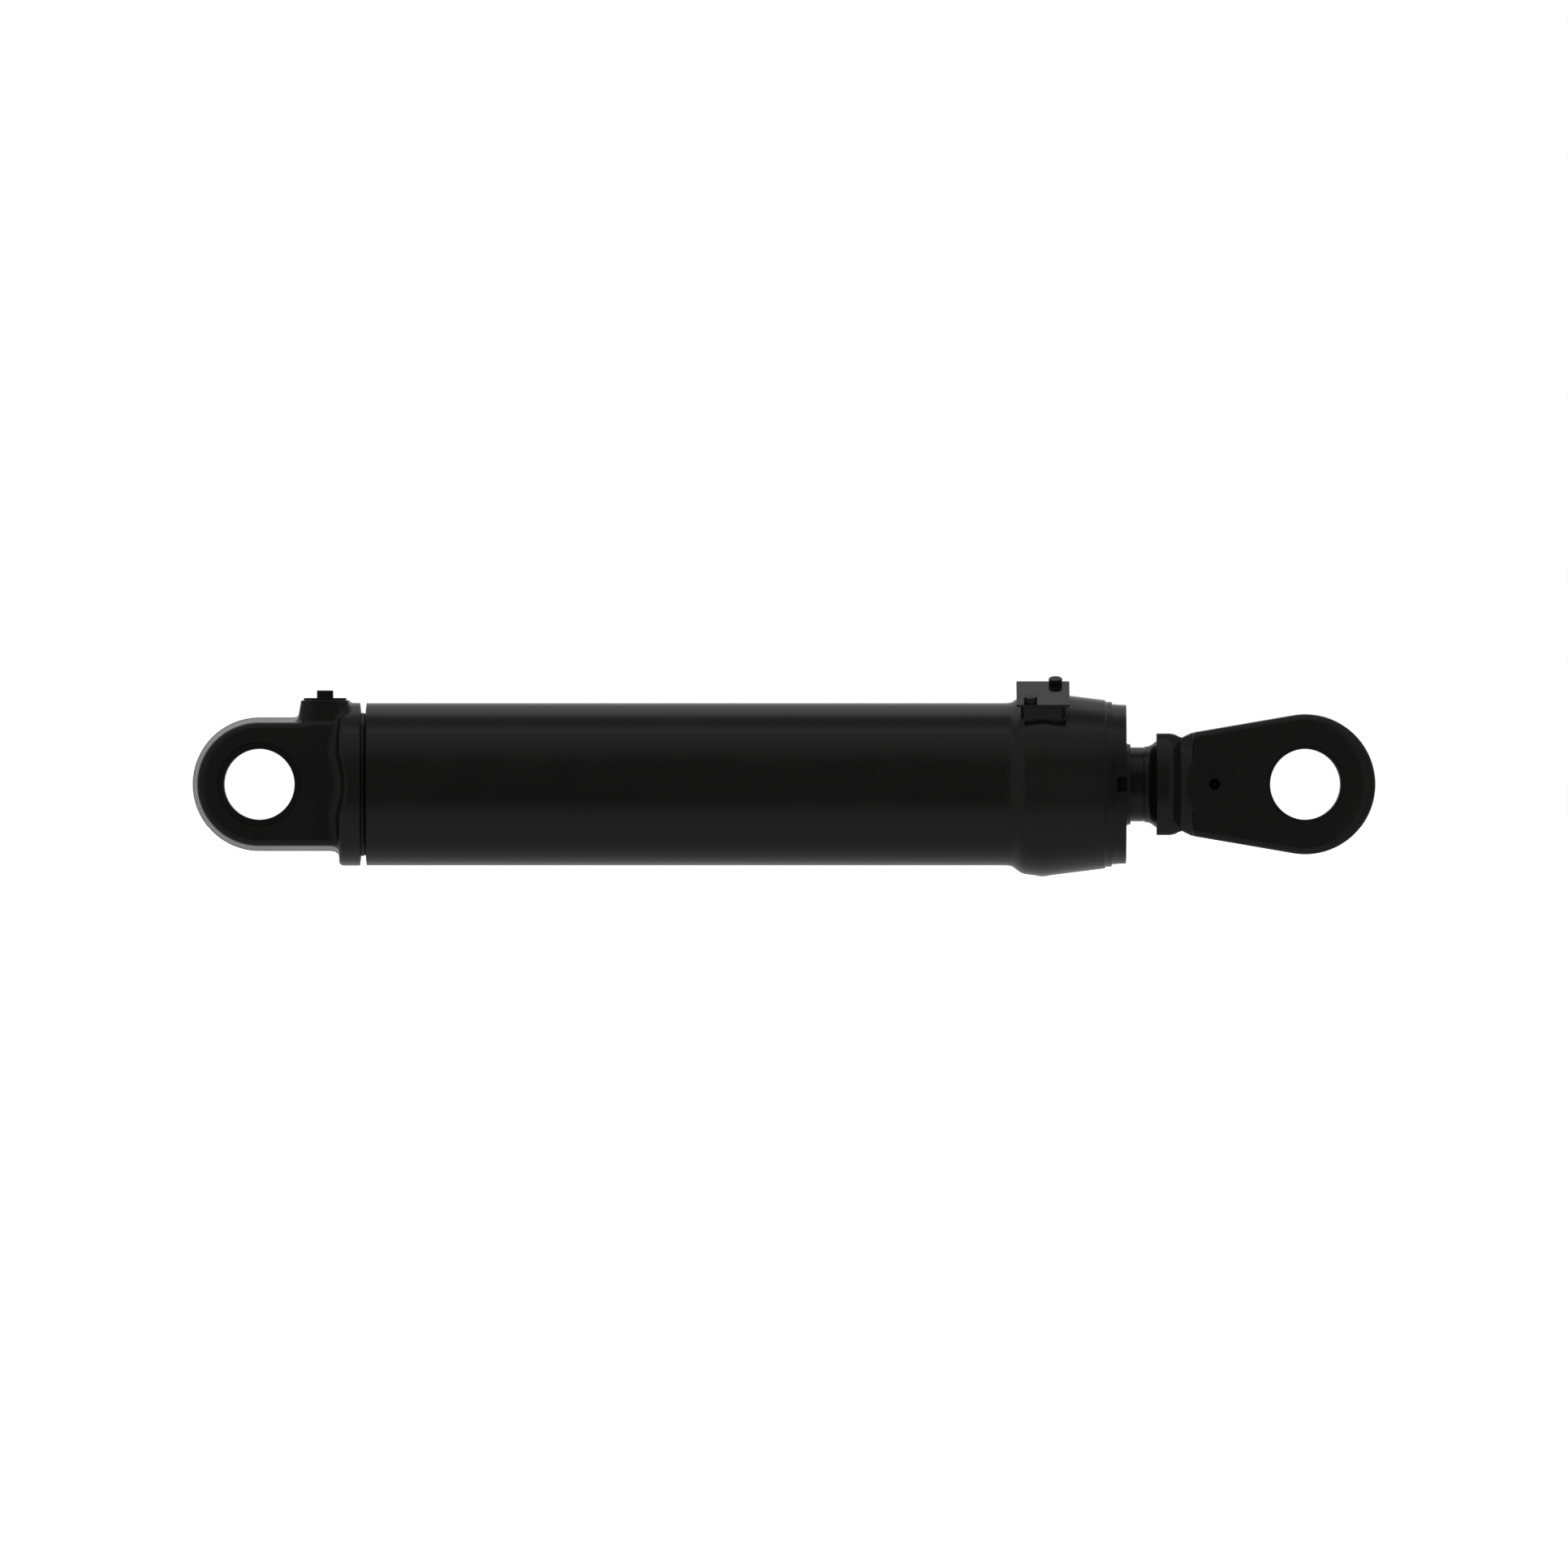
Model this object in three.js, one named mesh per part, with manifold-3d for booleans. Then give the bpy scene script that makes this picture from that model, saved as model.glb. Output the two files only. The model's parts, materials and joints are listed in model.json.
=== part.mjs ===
// A double-acting hydraulic cylinder with a pin eye at each end, lying on its side and closed.
//
// Lengths are millimetres. While the pieces are made, x = 0 is the cap-end pin, +x points to the rod
// eye, y runs along both pins and z = 0 is the centre line of the tube. The finished group is then
// moved so that its origin is on the ground, under the middle of the cylinder.
import * as THREE from 'three';
import { mergeVertices } from 'three/addons/utils/BufferGeometryUtils.js';
import Module from 'manifold-3d';

const wasm = await Module();
wasm.setup();

// ---- Driving dimensions ----

const BORE_R = 82.5; // 165 mm bore
const TUBE_R = 97.7;
const ROD_R = 44.5; // 89 mm rod
const PIN_R = 42.5; // 85 mm pins
const PIN_TO_PIN = 1256.4; // closed length
const GAP = 0.3; // between neighbouring pieces
const FIT_GAP = 0.4; // between a round piece and its seat
const RUNNING_GAP = 0.8; // between pieces that turn or slide on each other

const EYE_HALF_WIDTH = 55; // both eyes, along their pins
const EYE_BORE_R = 50; // seat of the bush
const BUSH_HALF_WIDTH = 47;
const BUSH_GAP = 0.3;

const CAP_EYE_R = 80.3;
const CAP_DRAFT = 6.3; // the forging narrows this much towards each cheek
const CAP_FILLET = { x: 85.9, r: 9 }; // between the eye and its flange
const CAP_FLANGE_R = 97.9;
const CAP_SHOULDER_X = 96;
const CAP_SPIGOT_X = 134; // inner face of the cap end
const CLEVIS_SWEEP_R = 102; // room for the clevis that swings round the cap-end pin

const WELD_X = 124.05; // middle of the weld groove
const WELD_HALF_TOP = 4.65;
const WELD_HALF_ROOT = 3.15;
const WELD_ROOT_R = 85.6;

const BOSS_X = 78.8; // cap-end port boss
const BOSS_HALF_X = 28.6;
const BOSS_HALF_Y = 47.5;
const BOSS_TOP_Z = 100.8;
const BOSS_FOOT_Z = 73; // inside the eye
const BOSS_CORNER_R = 16;
const BOSS_DRAFT = THREE.MathUtils.degToRad(9.6);
const CAP_PORT_R = 16;
const CAP_PORT_BOTTOM_Z = 35;
const CAP_GALLERY = { z: 45, r: 11 }; // oil way from the port to the bore
const SEAL_SEAT = { r: 20, deep: 3.2 };
const PLUG = { flangeR: 25.6, flangeThick: 2.6, hexHigh: 9.1, acrossFlats: 19.5, tipZ: 78 };

const HEAD_X = 897.4; // joint between the tube and the head
const HEAD_END_X = 1024.2;
const HEAD_MAX_R = 110.6;
const HEAD_SWELL = [ // its outside, from the end that takes the gland to the tube: [x, radius]
  [HEAD_END_X, 99.2],
  [1018.4, 99.2],
  [1014.5, 101.4],
  [947.2, 109.9],
  [940.3, HEAD_MAX_R],
  [927.7, 109],
  [918.9, 108],
  [913, 105.5],
  [909.1, 102.4],
  [903.3, 98.6],
  [HEAD_X, TUBE_R],
];
const PORT_X = 941.2;
const PORT_Y = -7.2; // the port's axis passes this far in front of the centre line
const PORT_TILT = THREE.MathUtils.degToRad(21.5); // the rod-end port leans towards -y
const ROD_PORT_R = 16;
const ROD_PORT_SEAT = { deep: 2.4, innerR: 19.5, outerR: 24.5 };
const PAD_TOP = 114.4; // height of the pad's face above the centre line
const PAD = { halfX: 27.3, halfY: 37.3, cornerR: 11 };
const COVER = { x: 63.7, y: 78.2, thick: 3.1, cornerR: 2 };
const BOLT_HALF_X = 15.1; // bolt pattern 30.2 x 58.7
const BOLT_HALF_Y = 29.35;
const BOLT_HOLE = { tapped: 5.1, clear: 5.4, bottom: 92 };
const SCREW = { headR: 8.1, headHigh: 7.2, chamfer: 0.8, shankR: 4.7, tip: 95 };

const GLAND_X = 905; // inner end of the gland
const GLAND_END_X = 1041.4;
const GLAND_THREAD_R = 89.5;
const GLAND_LAND_R = 85.6;
const GLAND_NOSE_R = 70;
const GLAND_COLLAR_R = 96.4;
const THREAD_X = 978; // where the land gives way to the thread
const SPANNER_SLOT = { deep: 11.7, wide: 17.5, bottomR: 88.9 };

const NUT_X = 138.5;
const NUT_CORNER_R = 46;
const PISTON_X = 166;
const PISTON_END_X = 246;
const PISTON_R = BORE_R - RUNNING_GAP - 0.1;
const ROD_SPIGOT_R = 32;
const ROD_THREAD_R = 27;
const ROD_END_SPIGOT_R = 18;

const ROD_EYE_X = 1063.1;
const ROD_EYE_R = 84.4;
const ROD_EYE_BORE_R = 46.5;
const ROD_EYE_CHAMFER = { wide: 10, deep: 6 };
const ROD_EYE_TAPER = THREE.MathUtils.degToRad(9.75);
const ROD_FLANGE_X = 1077.8;
const FLANGE_HALF_Z = 61.25;
const NECK_R = 45.4;
const NOTCH = { x: 1106.6, halfZ: 56.9 }; // between the flange and the eye
const BULGE_R = 78; // the front and back of the flange bulge
const BULGE_AXIS_Y = 20;
const FRONT = [ // how far the flange and the eye's shoulder reach along y: [x, y]
  [ROD_FLANGE_X, 58],
  [1092, 58],
  [1098.5, 55.8],
  [NOTCH.x, 52.4],
  [1110.6, 55],
  [1113.5, 56.9],
  [1122.4, 61.2],
  [1123, 95],
];
const POCKET = { x0: 1098.5, x1: 1106.5, halfZ0: 42, halfZ1: 55, floorY: 32 };
const ROD_SPIGOT_DEPTH = 22; // the rod's end fits into the rod eye
const GREASE = { x: 1147.3, pocketR: 6.65, pocketY: 36, wayR: 2.6 };

const ROUND = 32; // facets around large round pieces
const MEDIUM = 24; // around the ports
const SMALL = 12; // and around small ones

// ---- Materials ----

const finish = (color, roughness, metalness) =>
  new THREE.MeshStandardMaterial({ color, roughness, metalness });

const blackPaint = finish(0x151514, 0.35, 0.2);
const blackRod = finish(0x1b1b1a, 0.25, 0.8);
const darkSteel = finish(0x3a3a3a, 0.4, 0.8);
const brightSteel = finish(0x9a9a9a, 0.35, 0.9);
const blackZinc = finish(0x222222, 0.45, 0.6);
const weldSteel = finish(0x2c2b2a, 0.5, 0.6);
const phosphatedSteel = finish(0x1c1c1b, 0.5, 0.5);
const rubber = finish(0x101010, 0.8, 0);
const polyurethane = finish(0x22303a, 0.6, 0);
const guideResin = finish(0x6a5a3c, 0.7, 0);

// ---- Solids: booleans, turned and extruded shapes ----

function solidOf(geometry) {
  const bare = geometry.clone();
  bare.deleteAttribute('normal');
  bare.deleteAttribute('uv');
  const merged = mergeVertices(bare, 1e-4);
  const corners = merged.index.array;
  const kept = [];
  for (let i = 0; i < corners.length; i += 3) {
    const [a, b, c] = [corners[i], corners[i + 1], corners[i + 2]];
    if (a !== b && b !== c && c !== a) kept.push(a, b, c);
  }
  const vertProperties = merged.attributes.position.array;
  const triVerts = new Uint32Array(kept);
  return new wasm.Manifold(new wasm.Mesh({ numProp: 3, vertProperties, triVerts }));
}

function geometryOf(solid) {
  const { vertProperties, triVerts } = solid.getMesh();
  const geometry = new THREE.BufferGeometry();
  geometry.setAttribute('position', new THREE.BufferAttribute(vertProperties, 3));
  geometry.setIndex(new THREE.BufferAttribute(triVerts, 1));
  return geometry;
}

function join(...geometries) {
  return geometryOf(geometries.map(solidOf).reduce((sum, solid) => sum.add(solid)));
}

function cut(geometry, ...tools) {
  return geometryOf(tools.map(solidOf).reduce((rest, tool) => rest.subtract(tool), solidOf(geometry)));
}

function common(a, b) {
  return geometryOf(solidOf(a).intersect(solidOf(b)));
}

// Turns a half-section about the x axis. Its corners are [x, radius], counter-clockwise with x to the
// right. It starts and ends on the axis, or is closed here.
function turned(section, facets = ROUND) {
  const points = section.map(([x, r]) => new THREE.Vector2(r, x));
  if (section[0][1] > 0) points.push(points[0].clone());
  return new THREE.LatheGeometry(points.reverse(), facets).rotateZ(-Math.PI / 2);
}

function ring(x0, x1, innerR, outerR, facets = ROUND) {
  return turned([[x0, innerR], [x1, innerR], [x1, outerR], [x0, outerR]], facets);
}

function rodAlongX(x0, x1, radius, facets = ROUND) {
  return turned([[x0, 0], [x1, 0], [x1, radius], [x0, radius], [x0, 0]], facets);
}

function oRing(x, radius, thick, facets = ROUND) {
  return new THREE.TorusGeometry(radius, thick / 2, 6, facets).rotateY(Math.PI / 2).translate(x, 0, 0);
}

const alongY = (geometry) => geometry.rotateZ(Math.PI / 2);
const upright = (geometry) => geometry.rotateY(-Math.PI / 2);

// Extrudes an outline drawn in x and z along y, both ways from y = 0. Over its last stretch on either
// side, deep along y, the outline shrinks by wide.
function acrossY(outline, halfWidth, { wide, deep }) {
  const land = 2 * (halfWidth - deep);
  const geometry = new THREE.ExtrudeGeometry(outline, {
    depth: land,
    bevelThickness: deep,
    bevelSize: wide,
    bevelOffset: -wide,
    bevelSegments: 1,
    curveSegments: 12,
  });
  return geometry.translate(0, 0, -land / 2).rotateX(Math.PI / 2);
}

// Extrudes an outline drawn in x and y upwards from z0 to z1.
function upFrom(z0, z1, outline) {
  const options = { depth: z1 - z0, bevelEnabled: false, curveSegments: 5 };
  return new THREE.ExtrudeGeometry(outline, options).translate(0, 0, z0);
}

function roundedRectangle(halfX, halfY, radius) {
  const [x, y] = [halfX - radius, halfY - radius];
  const outline = new THREE.Shape();
  outline.absarc(x, y, radius, 0, Math.PI / 2);
  outline.absarc(-x, y, radius, Math.PI / 2, Math.PI);
  outline.absarc(-x, -y, radius, Math.PI, 1.5 * Math.PI);
  outline.absarc(x, -y, radius, 1.5 * Math.PI, 2 * Math.PI);
  outline.closePath();
  return outline;
}

function piece(name, geometry, material) {
  const mesh = new THREE.Mesh(geometry, material);
  mesh.name = name;
  return mesh;
}

function group(x, ...members) {
  const made = new THREE.Group();
  made.position.x = x;
  made.add(...members);
  return made;
}

// ---- Cap end ----

function capEyeOutline() {
  const { x, r } = CAP_FILLET;
  const insideFlangeX = CAP_SHOULDER_X + 18;
  const outline = new THREE.Shape();
  outline.absarc(0, 0, CAP_EYE_R, Math.PI / 2, 1.5 * Math.PI);
  outline.absarc(x, -CAP_EYE_R - r, r, Math.PI / 2, 0, true);
  outline.lineTo(insideFlangeX, -CAP_EYE_R - r);
  outline.lineTo(insideFlangeX, CAP_EYE_R + r);
  outline.absarc(x, CAP_EYE_R + r, r, 0, -Math.PI / 2, true);
  outline.closePath();
  return outline;
}

function capFlange() {
  return turned([
    [CAP_SHOULDER_X, 0],
    [CAP_SPIGOT_X, 0],
    [CAP_SPIGOT_X, BORE_R - FIT_GAP],
    [WELD_X - WELD_HALF_ROOT, BORE_R - FIT_GAP],
    [WELD_X - WELD_HALF_ROOT, WELD_ROOT_R],
    [WELD_X - WELD_HALF_TOP, CAP_FLANGE_R],
    [CAP_SHOULDER_X + 5, CAP_FLANGE_R],
    [CAP_SHOULDER_X + 1.5, CAP_FLANGE_R - 1.5],
    [CAP_SHOULDER_X, CAP_FLANGE_R - 5],
    [CAP_SHOULDER_X, 0],
  ]);
}

// The pieces that swing on the cap-end pin pass close to the flange, so its face is swept away.
function clevisSweep(side) {
  const depth = 60;
  const sweep = new THREE.CylinderGeometry(CLEVIS_SWEEP_R, CLEVIS_SWEEP_R, depth, 40);
  return sweep.translate(0, side * (EYE_HALF_WIDTH + depth / 2), 0);
}

// The boss widens downwards by its draft.
function portBoss() {
  const height = BOSS_TOP_Z - BOSS_FOOT_Z;
  const spread = height * Math.tan(BOSS_DRAFT);
  const foot = roundedRectangle(BOSS_HALF_X + spread, BOSS_HALF_Y + spread, BOSS_CORNER_R + spread);
  const boss = new THREE.ExtrudeGeometry(foot, {
    depth: 1,
    bevelThickness: height,
    bevelSize: spread,
    bevelOffset: -spread,
    bevelSegments: 1,
    curveSegments: 5,
  });
  return boss.translate(BOSS_X, 0, BOSS_FOOT_Z - 1);
}

function capEndEye() {
  const lug = acrossY(capEyeOutline(), EYE_HALF_WIDTH, { wide: CAP_DRAFT, deep: EYE_HALF_WIDTH - 1 });
  const pinBore = alongY(rodAlongX(-EYE_HALF_WIDTH - 1, EYE_HALF_WIDTH + 1, EYE_BORE_R));
  const drilled = (bottom, r) => {
    return upright(rodAlongX(bottom, BOSS_TOP_Z + 1, r, MEDIUM)).translate(BOSS_X, 0, 0);
  };
  const port = drilled(CAP_PORT_BOTTOM_Z, CAP_PORT_R);
  const sealSeat = drilled(BOSS_TOP_Z - SEAL_SEAT.deep, SEAL_SEAT.r);
  const gallery = rodAlongX(BOSS_X, CAP_SPIGOT_X + 1, CAP_GALLERY.r, SMALL).translate(0, 0, CAP_GALLERY.z);
  const forging = join(cut(capFlange(), clevisSweep(1), clevisSweep(-1)), lug, portBoss());
  return cut(forging, pinBore, port, sealSeat, gallery);
}

function rootWeld() {
  const half = WELD_HALF_ROOT - GAP;
  return turned([
    [WELD_X - half, BORE_R],
    [WELD_X + half, BORE_R],
    [WELD_X + half, WELD_ROOT_R - 0.5],
    [WELD_X, WELD_ROOT_R + 0.4],
    [WELD_X - half, WELD_ROOT_R - 0.5],
  ]);
}

function portPlug() {
  const underHead = BOSS_TOP_Z + GAP;
  const headTop = underHead + PLUG.flangeThick;
  const hexR = PLUG.acrossFlats / Math.sqrt(3);
  const stemR = CAP_PORT_R - 0.5;
  const body = upright(turned([
    [PLUG.tipZ, 0],
    [headTop, 0],
    [headTop, PLUG.flangeR],
    [underHead, PLUG.flangeR],
    [underHead, stemR],
    [PLUG.tipZ + 2, stemR],
    [PLUG.tipZ, stemR - 2],
    [PLUG.tipZ, 0],
  ]));
  const hexagon = new THREE.CylinderGeometry(hexR, hexR, PLUG.hexHigh + 1, 6).rotateX(Math.PI / 2);
  return join(body, hexagon.translate(0, 0, headTop + (PLUG.hexHigh - 1) / 2));
}

// ---- Bushes and pin seals, around pins along y ----

function capEyeFittings() {
  const outerR = EYE_BORE_R - BUSH_GAP;
  const sealFrom = BUSH_HALF_WIDTH + 0.4;
  const sealTo = EYE_HALF_WIDTH - 0.7;
  return [
    piece('cap_eye_bush', alongY(ring(-BUSH_HALF_WIDTH, BUSH_HALF_WIDTH, PIN_R, outerR)), phosphatedSteel),
    piece('pin_seal_rear', alongY(ring(sealFrom, sealTo, PIN_R + 0.7, outerR)), rubber),
    piece('pin_seal_front', alongY(ring(-sealTo, -sealFrom, PIN_R + 0.7, outerR)), rubber),
  ];
}

function rodEyeBush() {
  const halfWidth = EYE_HALF_WIDTH - 0.4;
  return alongY(ring(-halfWidth, halfWidth, PIN_R, ROD_EYE_BORE_R - BUSH_GAP));
}

// ---- Tube and head ----

function barrelTube() {
  return turned([
    [WELD_X + WELD_HALF_ROOT, BORE_R],
    [HEAD_X - GAP, BORE_R],
    [HEAD_X - GAP, TUBE_R],
    [WELD_X + WELD_HALF_TOP, TUBE_R],
    [WELD_X + WELD_HALF_ROOT, WELD_ROOT_R],
  ]);
}

function headShell() {
  return turned([
    [HEAD_X, BORE_R],
    [HEAD_X + 18, BORE_R],
    [HEAD_X + 21, GLAND_LAND_R + FIT_GAP],
    [THREAD_X, GLAND_LAND_R + FIT_GAP],
    [THREAD_X + 1, GLAND_THREAD_R + FIT_GAP],
    [HEAD_END_X, GLAND_THREAD_R + FIT_GAP],
    ...HEAD_SWELL,
  ]);
}

// Shapes on the rod-end port are made with the port pointing up, then leaned over.
const leaned = (geometry) => geometry.rotateX(PORT_TILT).translate(PORT_X, PORT_Y, 0);

function headForging() {
  const padOutline = roundedRectangle(PAD.halfX, PAD.halfY, PAD.cornerR);
  const pad = leaned(upFrom(GLAND_LAND_R, PAD_TOP, padOutline));
  const port = leaned(upright(rodAlongX(70, PAD_TOP + 1, ROD_PORT_R, MEDIUM)));
  const { deep, innerR, outerR } = ROD_PORT_SEAT;
  const sealSeat = leaned(upright(ring(PAD_TOP - deep, PAD_TOP + 1, innerR, outerR, MEDIUM)));
  const screwHoles = [1, -1].map((side) => {
    const hole = upright(rodAlongX(BOLT_HOLE.bottom, PAD_TOP + 1, BOLT_HOLE.tapped, SMALL));
    return leaned(hole.translate(side * BOLT_HALF_X, side * BOLT_HALF_Y, 0));
  });
  const bore = rodAlongX(HEAD_X, THREAD_X, GLAND_LAND_R + FIT_GAP);
  return cut(join(headShell(), cut(pad, bore)), port, sealSeat, ...screwHoles);
}

function portCover() {
  const bottom = PAD_TOP + GAP;
  const top = bottom + COVER.thick;
  const plate = upFrom(bottom, top, roundedRectangle(COVER.x / 2, COVER.y / 2, COVER.cornerR));
  const holes = [1, -1].map((side) => {
    const hole = upright(rodAlongX(bottom - 1, top + 1, BOLT_HOLE.clear, SMALL));
    return hole.translate(side * BOLT_HALF_X, side * BOLT_HALF_Y, 0);
  });
  return cut(plate, ...holes);
}

function lowHeadScrew(side) {
  const seat = PAD_TOP + GAP + COVER.thick + GAP;
  const top = seat + SCREW.headHigh;
  const screw = upright(turned([
    [SCREW.tip, 0],
    [top, 0],
    [top, SCREW.headR - SCREW.chamfer],
    [top - SCREW.chamfer, SCREW.headR],
    [seat, SCREW.headR],
    [seat, SCREW.shankR],
    [SCREW.tip, SCREW.shankR],
    [SCREW.tip, 0],
  ], MEDIUM));
  return screw.translate(side * BOLT_HALF_X, side * BOLT_HALF_Y, 0);
}

function portFittings() {
  const made = group(
    PORT_X,
    piece('rod_port_cover', portCover(), blackPaint),
    piece('rod_port_o_ring', upright(oRing(PAD_TOP - 1, 22, 2.2, MEDIUM)), rubber),
    piece('rod_port_screw_rear', lowHeadScrew(1), blackZinc),
    piece('rod_port_screw_front', lowHeadScrew(-1), blackZinc),
  );
  made.position.y = PORT_Y;
  made.rotation.x = PORT_TILT;
  return made;
}

// ---- Gland and the seals in it ----

const GLAND_BORE_R = ROD_R + 1.1;
const GROOVE_R = 52; // bottom of the lip seals' grooves
const WEAR_GROOVE_R = 48;
const GLAND_GROOVES = [
  { from: 915, to: 931, r: WEAR_GROOVE_R },
  { from: 984, to: 991, r: GROOVE_R },
  { from: 997, to: 1008, r: GROOVE_R },
  { from: 1012, to: 1024, r: WEAR_GROOVE_R },
];
const WIPER_SEAT_X = 1031;
const O_RING_GROOVE = { from: 964, to: 973, r: 80.5 };

function glandBody() {
  const inside = GLAND_GROOVES.flatMap(({ from, to, r }) => [
    [from, GLAND_BORE_R],
    [from, r],
    [to, r],
    [to, GLAND_BORE_R],
  ]);
  return turned([
    [GLAND_X, GLAND_BORE_R],
    ...inside,
    [WIPER_SEAT_X, GLAND_BORE_R],
    [WIPER_SEAT_X, GROOVE_R],
    [GLAND_END_X, GROOVE_R],
    [GLAND_END_X, GLAND_COLLAR_R - 2.1],
    [GLAND_END_X - 1.5, GLAND_COLLAR_R - 0.6],
    [HEAD_END_X + GAP, GLAND_COLLAR_R],
    [HEAD_END_X + GAP, GLAND_THREAD_R],
    [THREAD_X + 2, GLAND_THREAD_R],
    [THREAD_X, GLAND_LAND_R],
    [O_RING_GROOVE.to, GLAND_LAND_R],
    [O_RING_GROOVE.to, O_RING_GROOVE.r],
    [O_RING_GROOVE.from, O_RING_GROOVE.r],
    [O_RING_GROOVE.from, GLAND_LAND_R],
    [O_RING_GROOVE.from - 4, GLAND_LAND_R],
    [O_RING_GROOVE.from - 6, GLAND_NOSE_R],
    [GLAND_X, GLAND_NOSE_R],
  ]);
}

function spannerSlot(turn) {
  const { deep, wide, bottomR } = SPANNER_SLOT;
  const high = 20;
  const slot = new THREE.BoxGeometry(deep + 1, wide, high);
  slot.translate(GLAND_END_X + (1 - deep) / 2, 0, bottomR + high / 2);
  return slot.rotateX((turn * Math.PI) / 2);
}

function gland() {
  return cut(glandBody(), ...[0, 1, 2, 3].map(spannerSlot));
}

// A guide ring is cut through once, so that it can be sprung into its groove.
function splitRing(x0, x1, innerR, outerR) {
  const saw = new THREE.BoxGeometry(x1 - x0 + 2, 3, outerR - innerR + 8);
  saw.translate((x0 + x1) / 2, 0, (innerR + outerR) / 2);
  return cut(ring(x0, x1, innerR, outerR), saw);
}

function rodSeals() {
  const innerR = ROD_R + RUNNING_GAP;
  const [wearInner, buffer, seal, wearOuter] = GLAND_GROOVES;
  const fit = (make, groove) => make(groove.from + GAP, groove.to - GAP, innerR, groove.r - FIT_GAP);
  const wiper = turned([
    [WIPER_SEAT_X + GAP, innerR + 1],
    [GLAND_END_X, innerR + 1],
    [GLAND_END_X + 4.2, innerR],
    [GLAND_END_X + 5.2, innerR],
    [GLAND_END_X + 5.2, 48],
    [GLAND_END_X + 0.6, 49],
    [GLAND_END_X - 0.5, GROOVE_R - FIT_GAP],
    [WIPER_SEAT_X + GAP, GROOVE_R - FIT_GAP],
  ]);
  return [
    piece('rod_wear_ring_inner', fit(splitRing, wearInner), guideResin),
    piece('rod_buffer_seal', fit(ring, buffer), polyurethane),
    piece('rod_seal', fit(ring, seal), polyurethane),
    piece('rod_wear_ring_outer', fit(splitRing, wearOuter), guideResin),
    piece('rod_wiper', wiper, polyurethane),
  ];
}

function glandSeals() {
  const { from, to, r } = O_RING_GROOVE;
  const backUp = ring(to - 2 - GAP, to - GAP, r + 0.4, GLAND_LAND_R - 0.1);
  return [
    piece('gland_o_ring', oRing(from + 3.2, r + 2.7, 4.4), rubber),
    piece('gland_backup_ring', backUp, guideResin),
  ];
}

// ---- Piston, its nut and its seals ----

const PISTON_WEAR_GROOVES = [{ from: 172, to: 190 }, { from: 222, to: 240 }];
const PISTON_WEAR_GROOVE_R = 79;
const PISTON_SEAL_GROOVE = { from: 201, to: 211, r: 73 };
const PISTON_O_RING_GROOVE = { from: 192, to: 197, r: 36 };

function piston() {
  const boreR = ROD_SPIGOT_R + FIT_GAP;
  const inner = PISTON_O_RING_GROOVE;
  const grooves = [
    { ...PISTON_WEAR_GROOVES[1], r: PISTON_WEAR_GROOVE_R },
    PISTON_SEAL_GROOVE,
    { ...PISTON_WEAR_GROOVES[0], r: PISTON_WEAR_GROOVE_R },
  ];
  const outside = grooves.flatMap(({ from, to, r }) => [
    [to, PISTON_R],
    [to, r],
    [from, r],
    [from, PISTON_R],
  ]);
  return turned([
    [PISTON_X, boreR],
    [inner.from, boreR],
    [inner.from, inner.r],
    [inner.to, inner.r],
    [inner.to, boreR],
    [PISTON_END_X, boreR],
    [PISTON_END_X, PISTON_R - 2],
    [PISTON_END_X - 2, PISTON_R],
    ...outside,
    [PISTON_X + 2, PISTON_R],
    [PISTON_X, PISTON_R - 2],
  ]);
}

function pistonNut() {
  const width = PISTON_X - GAP - NUT_X;
  const hexagon = new THREE.CylinderGeometry(NUT_CORNER_R, NUT_CORNER_R, width, 6).rotateZ(Math.PI / 2);
  const hole = rodAlongX(NUT_X - 1, PISTON_X, ROD_THREAD_R + FIT_GAP);
  return cut(hexagon.translate(NUT_X + width / 2, 0, 0), hole);
}

function pistonSeals() {
  const slipperR = BORE_R - RUNNING_GAP;
  const wearRings = PISTON_WEAR_GROOVES.map(({ from, to }, i) => {
    const made = splitRing(from + GAP, to - GAP, PISTON_WEAR_GROOVE_R + 0.6, slipperR);
    return piece(['piston_wear_ring_cap_side', 'piston_wear_ring_rod_side'][i], made, guideResin);
  });
  const { from, to, r } = PISTON_SEAL_GROOVE;
  return [
    ...wearRings,
    piece('piston_seal', ring(from + GAP, to - GAP, 77.6, slipperR), polyurethane),
    piece('piston_seal_energiser', oRing((from + to) / 2, r + 2.4, 3.4), rubber),
  ];
}

// ---- Rod and rod eye ----

function pistonRod() {
  return turned([
    [NUT_X - 1.5, 0],
    [ROD_EYE_X + ROD_SPIGOT_DEPTH, 0],
    [ROD_EYE_X + ROD_SPIGOT_DEPTH, ROD_END_SPIGOT_R],
    [ROD_EYE_X - GAP, ROD_END_SPIGOT_R],
    [ROD_EYE_X - GAP, ROD_R],
    [PISTON_END_X + GAP + 2, ROD_R],
    [PISTON_END_X + GAP, ROD_R - 2],
    [PISTON_END_X + GAP, ROD_SPIGOT_R],
    [PISTON_X, ROD_SPIGOT_R],
    [PISTON_X, ROD_THREAD_R],
    [NUT_X + 1, ROD_THREAD_R],
    [NUT_X - 1.5, ROD_THREAD_R - 2.5],
    [NUT_X - 1.5, 0],
  ]);
}

function rodEyeNeck() {
  const insideX = ROD_FLANGE_X + 3;
  return turned([
    [ROD_EYE_X, 0],
    [insideX, 0],
    [insideX, NECK_R + 7],
    [ROD_FLANGE_X, NECK_R + 7],
    [ROD_FLANGE_X - 3.6, NECK_R + 4.6],
    [ROD_FLANGE_X - 8.2, NECK_R + 1.4],
    [ROD_EYE_X, NECK_R],
    [ROD_EYE_X, 0],
  ]);
}

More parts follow.
